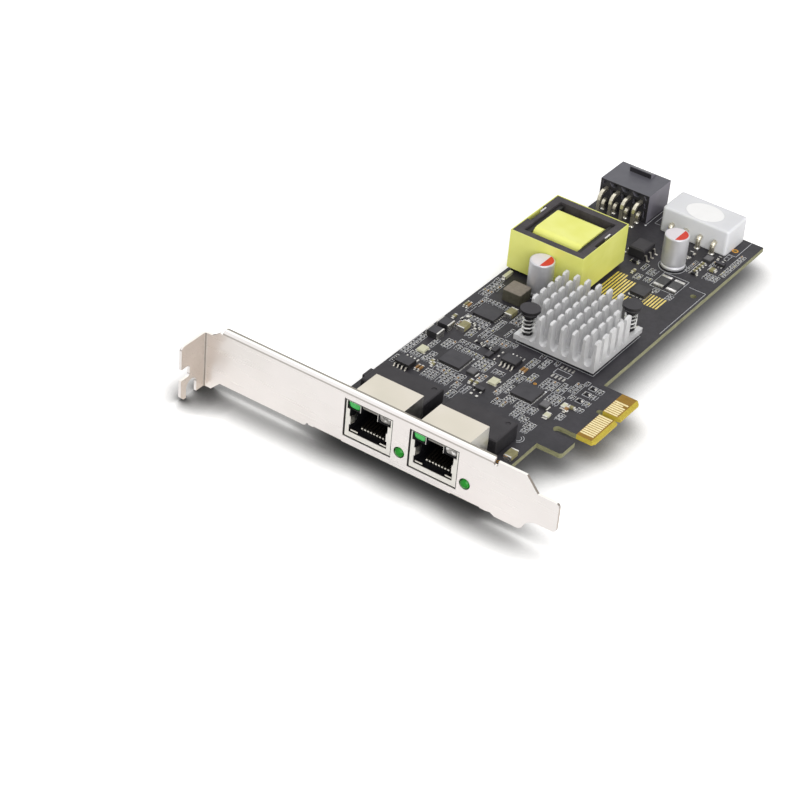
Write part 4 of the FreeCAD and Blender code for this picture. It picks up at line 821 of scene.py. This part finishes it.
# A chip part in a field: its width, its body's length, its ends' length, their distance from the
# middle and how far they rise over the body.
TINY_WIDTH = 0.42
TINY_BODY = 0.62
TINY_END = 0.28
TINY_END_OUT = 0.46
TINY_END_RISE = 0.02
TINY_BODY_EDGE, TINY_END_EDGE = 0.03, 0.06


def chip_part(build, x, y, turn, length, width, height, finish,
              end, edge, foot, foot_out, foot_share, foot_edge):
    """A chip resistor or capacitor lying along Y before its turn: body, metal ends and solder feet."""
    a = math.radians(turn)

    def along(reach):
        return x - math.sin(a) * reach, y + math.cos(a) * reach
    build.on_board(finish, (x, y), (width, length - 2 * end), height, edge, turn)
    for side in (-1, 1):
        build.on_board("solder", along(side * (length - end) / 2), (width, end), height, edge, turn)
        build.on_board("solder", along(side * (length / 2 + foot_out)), (width, foot), height * foot_share,
                       foot_edge, turn)


def tiny_part(build, x, y, finish, height):
    """A chip part along Y, with its two bright solder ends."""
    build.on_board(finish, (x, y), (TINY_WIDTH, TINY_BODY), height, TINY_BODY_EDGE)
    for side in (-1, 1):
        build.on_board("solder", (x, y + side * TINY_END_OUT), (TINY_WIDTH, TINY_END),
                       height + TINY_END_RISE, TINY_END_EDGE)


def fill_field(build, dice, x0, x1, y0, y1):
    """A field of small parts, most of them in a printed frame, with a row of printed ticks before it."""
    across = max(1, round((x1 - x0) / SMALL_PITCH))
    deep = max(1, round((y1 - y0) / SMALL_RUN))
    step_x, step_y = (x1 - x0) / across, (y1 - y0) / deep
    half_x, half_y = FRAME_HALF_X * step_x, FRAME_HALF_Y * step_y
    ticks = max(1, round((x1 - x0) / TICK_PITCH))
    for i in range(ticks):
        if dice.random() < TICK_SHARE:
            x = x0 + (i + 0.5) * (x1 - x0) / ticks
            build.line(x - TICK_HALF_LEAN, y0 - TICK_START, x + TICK_HALF_LEAN, y0 - TICK_END, FINE_WIDTH)
    for i in range(across):
        for j in range(deep):
            x = x0 + (i + 0.5) * step_x
            y = y0 + (j + 0.5) * step_y
            for side in (-1, 1):
                build.line(x + side * half_x, y - half_y, x + side * half_x, y + half_y, FINE_WIDTH)
                if dice.random() < SHORT_SIDE_SHARE:
                    build.line(x - half_x, y + side * half_y, x + half_x, y + side * half_y, FINE_WIDTH)
            draw = dice.random()
            if draw < RESISTOR_SHARE:
                tiny_part(build, x, y, "resistor", RESISTOR_HEIGHT)
            elif draw < PART_SHARE:
                tiny_part(build, x, y, dice.choice(("olive", "tan", "shunt", "resistor")), PART_HEIGHT)


def small_parts():
    build = Build("ink", "solder", "resistor", "olive", "tan", "shunt")
    dice = random.Random(SEED)
    for field in FIELDS:
        fill_field(build, dice, *field)
    for x, y in OUTLINED:
        build.frame(x - OUTLINE_HALF_X, x + OUTLINE_HALF_X, y - OUTLINE_HALF_Y, y + OUTLINE_HALF_Y)
        chip_part(build, x, y, *OUTLINED_PART, **OUTLINED_ENDS)
    build.finish_object("small_parts")


def larger_parts():
    build = Build("solder", "resistor", "olive", "tan", "cream")
    for part in LARGER_PARTS:
        chip_part(build, *part, **LARGER_ENDS)
    build.finish_object("larger_chip_parts")


# The printing on the board

# Lines along the board's edges and round the far parts: x and y of both ends.
PRINTED_LINES = [
    (93.7, 101.0, 93.7, 129.1), (88.0, 129.1, 93.7, 129.1), (90.6, 154.2, 90.6, 164.9),
    (87.6, 154.2, 90.6, 154.2), (59.4, 151.9, 59.4, 164.9), (61.0, 154.6, 61.0, 164.9),
    (61.0, 154.6, 63.0, 154.6), (80.4, 117.8, 80.4, 120.0), (85.2, 117.8, 85.2, 120.0),
]
# Lines that each network channel repeats.
CHANNEL_LINES = [(58.9, 45.3, 58.9, 52.3), (51.4, 45.1, 58.9, 45.1)]
# Frames: left, right, front and back.
PRINTED_FRAMES = [(77.95, 82.2, 122.1, 131.5), (82.2, 86.6, 122.1, 131.5), (80.0, 84.9, 63.0, 65.5)]
PIN_MARKS = [(59.4, 151.4), (58.8, 53.3), (58.8 + LAN_PITCH, 53.3)]
PIN_MARK_RADIUS = 0.35
HEATSINK_FRAME_INSET = (0.6, -0.2, 0.6, -0.4)
CAN_RING_GAP = 0.45
DOUBLE_ARC = (89.2, 29.4)
DOUBLE_ARC_RADII = (1.9, 1.2)
DOUBLE_ARC_HALF_ANGLE = 70


def printing():
    """Outlines printed on the board: part frames, pin marks and the lines along its edges."""
    build = Build("ink")
    low, high = card_box("heatsink")
    sides = (low.x, high.x, low.y, high.y)
    build.frame(*(side + inset for side, inset in zip(sides, HEATSINK_FRAME_INSET)))
    for i in (1, 2):
        middle, radius, _ = capacitor_can(i)
        build.arc_line("ink", middle.x, middle.y, radius + CAN_RING_GAP, 0, 360, INK_WIDTH,
                       BOARD_TOP, INK_TOP, 48)
    for ends in PRINTED_LINES:
        build.line(*ends)
    for shift in (0, LAN_PITCH):
        for x0, y0, x1, y1 in CHANNEL_LINES:
            build.line(x0 + shift, y0, x1 + shift, y1)
    for sides in PRINTED_FRAMES:
        build.frame(*sides)
    for x, y in PIN_MARKS:
        build.lathe("ink", x, y, [(PIN_MARK_RADIUS, BOARD_TOP), (PIN_MARK_RADIUS, INK_TOP)], 16)
    for radius in DOUBLE_ARC_RADII:
        build.arc_line("ink", *DOUBLE_ARC, radius, -DOUBLE_ARC_HALF_ANGLE, DOUBLE_ARC_HALF_ANGLE, INK_WIDTH,
                       BOARD_TOP, INK_TOP, 16)
    build.finish_object("board_printing")


# Solder and plated pads

# Bright solder beside chokes, transistors and wide parts: x, y, width, depth and rise.
SOLDER_SPOTS = [
    (64.2, 46.9, 0.5, 2.0, 0.5), (88.55, 46.6, 0.5, 2.0, 0.5), (67.55, 40.4, 0.55, 0.9, 0.5),
    (69.6, 40.4, 0.55, 0.9, 0.5), (67.6, 38.6, 0.8, 0.8, 0.35), (69.6, 38.4, 0.8, 0.8, 0.35),
    (63.6, 61.5, 0.6, 0.8, 0.4), (63.6, 59.2, 0.6, 0.8, 0.4), (63.6, 57.0, 0.6, 0.8, 0.4),
    (45.4, 70.3, 0.9, 1.0, 0.5), (45.8, 67.6, 0.9, 0.8, 0.4), (48.2, 66.9, 0.9, 0.9, 0.5),
    (79.9, 146.3, 0.9, 1.1, 0.6), (79.8, 143.5, 0.9, 1.1, 0.6), (84.3, 136.6, 0.5, 1.0, 0.7),
    (86.2, 136.6, 0.5, 1.0, 0.7), (93.2, 49.0, 0.8, 0.9, 0.5), (88.3, 145.4, 0.4, 1.2, 0.4),
    (89.3, 145.4, 0.4, 1.2, 0.4), (90.2, 145.4, 0.4, 1.2, 0.4), (50.7, 66.2, 0.9, 0.6, 0.6),
]

# Leadless chips: pads on each side, their pitch and their length.
PAD_ROWS = {"network_chips": (11, 0.65, 0.55), "power_chips": (6, 1.0, 0.5)}
PAD_TUCKED = 0.05
PAD_RISE = 0.12
PAD_EDGE = 0.04
MEMORY_LEADS = 4
MEMORY_PITCH = 1.27
MEMORY_TIP_OUT = 1.7
REGULATOR_LEADS = (75.94, 77.29, 78.58, 79.88)
REGULATOR_LEAD_Y = 113.5
CRYSTAL_PAD_INSET = 0.3
# Solder on one pad: its sides, its rise and its chamfer.
MEMORY_SOLDER = ((0.5, 1.3), 0.3, 0.1)
REGULATOR_SOLDER = ((0.62, 0.7), 0.25, 0.1)
CRYSTAL_SOLDER = ((0.9, 0.8), 0.1, 0.04)
SPOT_EDGE = 0.12

# Pins through the board: the pin's radius, its pad's, and how far the pin's middle lies behind its
# front end, or None where it is the middle of its box.
PIN_JOINTS = {
    "power_header_pins": (0.62, 1.15, 0.53),
    "drive_header_pins": (0.8, 1.4, 0.8),
    "transformer_pins": (0.5, 0.95, None),
}
JOINT_RISE = 0.9
UPPER_JOINT_WIDER, UPPER_JOINT_RISE = 0.25, 0.4
# The joints of a can's leads, a jack's wires and lamps, its posts, and a lamp holder's leads: the lead's
# radius, the pad's radius and the rise.
CAN_JOINT = (0.3, 0.8, 0.9)
WIRE_JOINT = (0.25, 0.5, 0.7)
POST_JOINT = (0.5, 1.1, 0.9)
HOLDER_JOINT = (0.25, 0.55, 0.7)
CAN_LEAD_HALF_PITCH = 1.75
JACK_WIRES = 8
JACK_WIRE_PITCH = 1.02
JACK_WIRE_FRONT, JACK_ROW_PITCH = 11.0, 2.5
JACK_POST_X, JACK_POST_Y = 7.9, 9.0
JACK_LAMP_X, JACK_LAMP_PITCH, JACK_LAMP_Y = 4.2, 2.3, 14.0
HOLDER_LEAD_HALF_PITCH, HOLDER_LEAD_INSET = 1.27, 0.9

# Plated holes: x, y, inner and outer radius.
PLATED_HOLES = [(88.7, 157.2, 0.56, 1.08), (91.0, 16.9, 0.3, 0.6), (79.0, 54.7, 0.25, 0.5)]


def chip_pads():
    """The short metal edges of leadless chips, and solder on the pads of the chips that have leads."""
    build = Build("solder")
    for name, (count, pitch, reach) in PAD_ROWS.items():
        for low, high in solid_boxes(name):
            middle = (low + high) / 2
            out_x, out_y = ((high[k] - low[k]) / 2 + reach / 2 - PAD_TUCKED for k in (0, 1))
            for i in range(count):
                shift = (i - (count - 1) / 2) * pitch
                for side in (-1, 1):
                    build.on_board("solder", (middle.x + shift, middle.y + side * out_y),
                                   (pitch * 0.5, reach), PAD_RISE, PAD_EDGE)
                    build.on_board("solder", (middle.x + side * out_x, middle.y + shift),
                                   (reach, pitch * 0.5), PAD_RISE, PAD_EDGE)
    for low, high in solid_boxes("memory_chips"):
        for i in range(MEMORY_LEADS):
            x = (low.x + high.x) / 2 + (i - (MEMORY_LEADS - 1) / 2) * MEMORY_PITCH
            build.on_board("solder", (x, high.y + MEMORY_TIP_OUT), *MEMORY_SOLDER)
    for x in REGULATOR_LEADS:
        build.on_board("solder", (x, REGULATOR_LEAD_Y), *REGULATOR_SOLDER)
    for x, y, across, deep, rise in SOLDER_SPOTS:
        build.on_board("solder", (x, y), (across, deep), rise, SPOT_EDGE)
    for low, high in solid_boxes("crystals"):
        for x in (low.x, high.x):
            for y in (low.y + CRYSTAL_PAD_INSET, high.y - CRYSTAL_PAD_INSET):
                build.on_board("solder", (x, y), *CRYSTAL_SOLDER)
    build.finish_object("chip_edge_solder")


def joint(build, x, y, pin_radius, pad_radius, rise, below=True):
    """A solder fillet round a pin, on the bottom or the top of the board."""
    side = -1 if below else 1
    z = BOARD_BOTTOM if below else BOARD_TOP
    profile = [(pad_radius, z), (pad_radius, z + side * 0.06), (pad_radius * 0.72, z + side * rise * 0.35),
               (pin_radius * 1.15, z + side * rise * 0.8), (pin_radius * 0.75, z + side * rise)]
    build.lathe("solder", x, y, profile, 20)


def through_joints():
    """Solder on the pins that pass through the board."""
    build = Build("solder")
    for node, (pin_radius, pad_radius, behind) in PIN_JOINTS.items():
        for low, high in solid_boxes(node):
            x = (low.x + high.x) / 2
            y = (low.y + high.y) / 2 if behind is None else low.y + behind
            joint(build, x, y, pin_radius, pad_radius, JOINT_RISE)
            if behind is not None:
                joint(build, x, y, pin_radius, pin_radius + UPPER_JOINT_WIDER, UPPER_JOINT_RISE, below=False)
    for i in (1, 2):
        middle, _, _ = capacitor_can(i)
        jack = middle_x("port_housing_%d" % i)
        holder = "panel_lamp_holder_%d" % i
        holder_back = card_box(holder)[1].y
        for k in range(JACK_WIRES):
            joint(build, jack + (k - (JACK_WIRES - 1) / 2) * JACK_WIRE_PITCH,
                  JACK_WIRE_FRONT + (k % 2) * JACK_ROW_PITCH, *WIRE_JOINT)
        for side in (-1, 1):
            joint(build, middle.x + side * CAN_LEAD_HALF_PITCH, middle.y, *CAN_JOINT)
            joint(build, jack + side * JACK_POST_X, JACK_POST_Y, *POST_JOINT)
            for k in range(2):
                joint(build, jack + side * (JACK_LAMP_X + k * JACK_LAMP_PITCH), JACK_LAMP_Y, *WIRE_JOINT)
            joint(build, middle_x(holder) + side * HOLDER_LEAD_HALF_PITCH, holder_back - HOLDER_LEAD_INSET,
                  *HOLDER_JOINT)
    build.finish_object("solder_joints", smooth=True)


def hole_rings():
    """The gold rings of the plated holes, on both faces."""
    build = Build("ring_gold")
    for x, y, inner, outer in PLATED_HOLES:
        for z0, z1 in ((BOARD_TOP, BOARD_TOP + RING_RISE), (BOARD_BOTTOM - RING_RISE, BOARD_BOTTOM)):
            build.arc_line("ring_gold", x, y, (inner + outer) / 2, 0, 360, outer - inner, z0, z1, 32)
    build.finish_object("hole_rings")


# Details of the larger pieces

# The jack's frame in the bracket's window, from the jack's middle.
JACK_HALF = 8.0
JACK_BOTTOM, JACK_TOP = 3.0, 15.3
# Thin black strips on the shield's front are painted shadow of the gap round the frame: their back, their
# depth, and their widths at the left, right, bottom and top.
GAP_SHADOW_BACK = 0.3
GAP_SHADOW_DEPTH = 0.03
LEFT_GAP_SHADOW, RIGHT_GAP_SHADOW, LOW_GAP_SHADOW, HIGH_GAP_SHADOW = 0.4, 0.28, 0.2, 0.2
TRIM_FRONT, TRIM_BACK = 0.65, 1.05
# Pieces of trim in the mouth: finish, left, right, bottom, top and chamfer.
MOUTH_TRIM = [
    ("lip", -2.5, 2.5, 14.1, 14.93, 0.15),
    ("tin", -6.05, -3.6, 5.05, 5.5, 0.12),
    ("tin", 3.8, 6.05, 5.05, 5.5, 0.12),
]

CAN_RIM = 0.45
RED_STARTS = 0.28
TOP_SUNK, TOP_PROUD = 0.05, 0.02
TOP_STEPS = 20

LABEL_HALF_X, LABEL_HALF_Y = 6.3, 4.9
LABEL_OFFSET = (0.2, -0.6)
LABEL_STEPS = 48
# The label's outline at each level: how far it rises over the header and how far it draws in.
LABEL_LAYERS = [(0.0, 0.0), (0.04, 0.0), (0.06, 0.06)]


def port_fronts():
    """At each mouth: thin black strips round the jack's frame as painted shadow of its gap, a grey lip
    between the lamps, two low corner tabs.
    """
    build = Build("black", "lip", "tin")
    gap_shadows = [(-JACK_HALF, -JACK_HALF + LEFT_GAP_SHADOW, JACK_BOTTOM, JACK_TOP),
            (-JACK_HALF, JACK_HALF, JACK_BOTTOM, JACK_BOTTOM + LOW_GAP_SHADOW),
            (JACK_HALF - RIGHT_GAP_SHADOW, JACK_HALF, JACK_BOTTOM, JACK_TOP),
            (-JACK_HALF, JACK_HALF, JACK_TOP - HIGH_GAP_SHADOW, JACK_TOP)]
    for i in (1, 2):
        x = middle_x("port_shield_%d" % i)
        # Painted shadow: thin black strips in the gap round the frame.
        for x0, x1, z0, z1 in gap_shadows:
            build.upright("black", x + x0, x + x1, GAP_SHADOW_BACK - GAP_SHADOW_DEPTH, GAP_SHADOW_BACK, z0, z1)
        for finish, x0, x1, z0, z1, chamfer in MOUTH_TRIM:
            build.upright(finish, x + x0, x + x1, TRIM_FRONT, TRIM_BACK, z0, z1, chamfer)
    build.finish_object("port_mouth_trim_and_gap_shadow")


def capacitor_tops():
    """A lacquered top with a red segment towards the right, laid into the can's rim."""
    build = Build("cap_white", "red")
    edge = math.acos(RED_STARTS)
    for i in (1, 2):
        middle, can_radius, top = capacitor_can(i)
        radius = can_radius - CAN_RIM
        for finish, start, end in (("red", -edge, edge), ("cap_white", edge, 2 * math.pi - edge)):
            angles = [start + (end - start) * k / TOP_STEPS for k in range(TOP_STEPS + 1)]
            build.form(finish, [[(middle.x + radius * math.cos(a), middle.y + radius * math.sin(a), z)
                                 for a in angles] for z in (top - TOP_SUNK, top + TOP_PROUD)])
    build.finish_object("capacitor_tops")


def sticker():
    """A bare white oval label on the drive power header."""
    build = Build("sticker")
    low, high = card_box("drive_header")
    x, y = (low.x + high.x) / 2 + LABEL_OFFSET[0], (low.y + high.y) / 2 + LABEL_OFFSET[1]
    angles = [2 * math.pi * k / LABEL_STEPS for k in range(LABEL_STEPS)]
    build.form("sticker", [[(x + (LABEL_HALF_X - inset) * math.cos(a),
                             y + (LABEL_HALF_Y - inset) * math.sin(a), high.z + rise) for a in angles]
                           for rise, inset in LABEL_LAYERS])
    build.finish_object("oval_label")


dress_nodes()
studio()
small_parts()
larger_parts()
printing()
chip_pads()
through_joints()
hole_rings()
capacitor_tops()
port_fronts()
sticker()
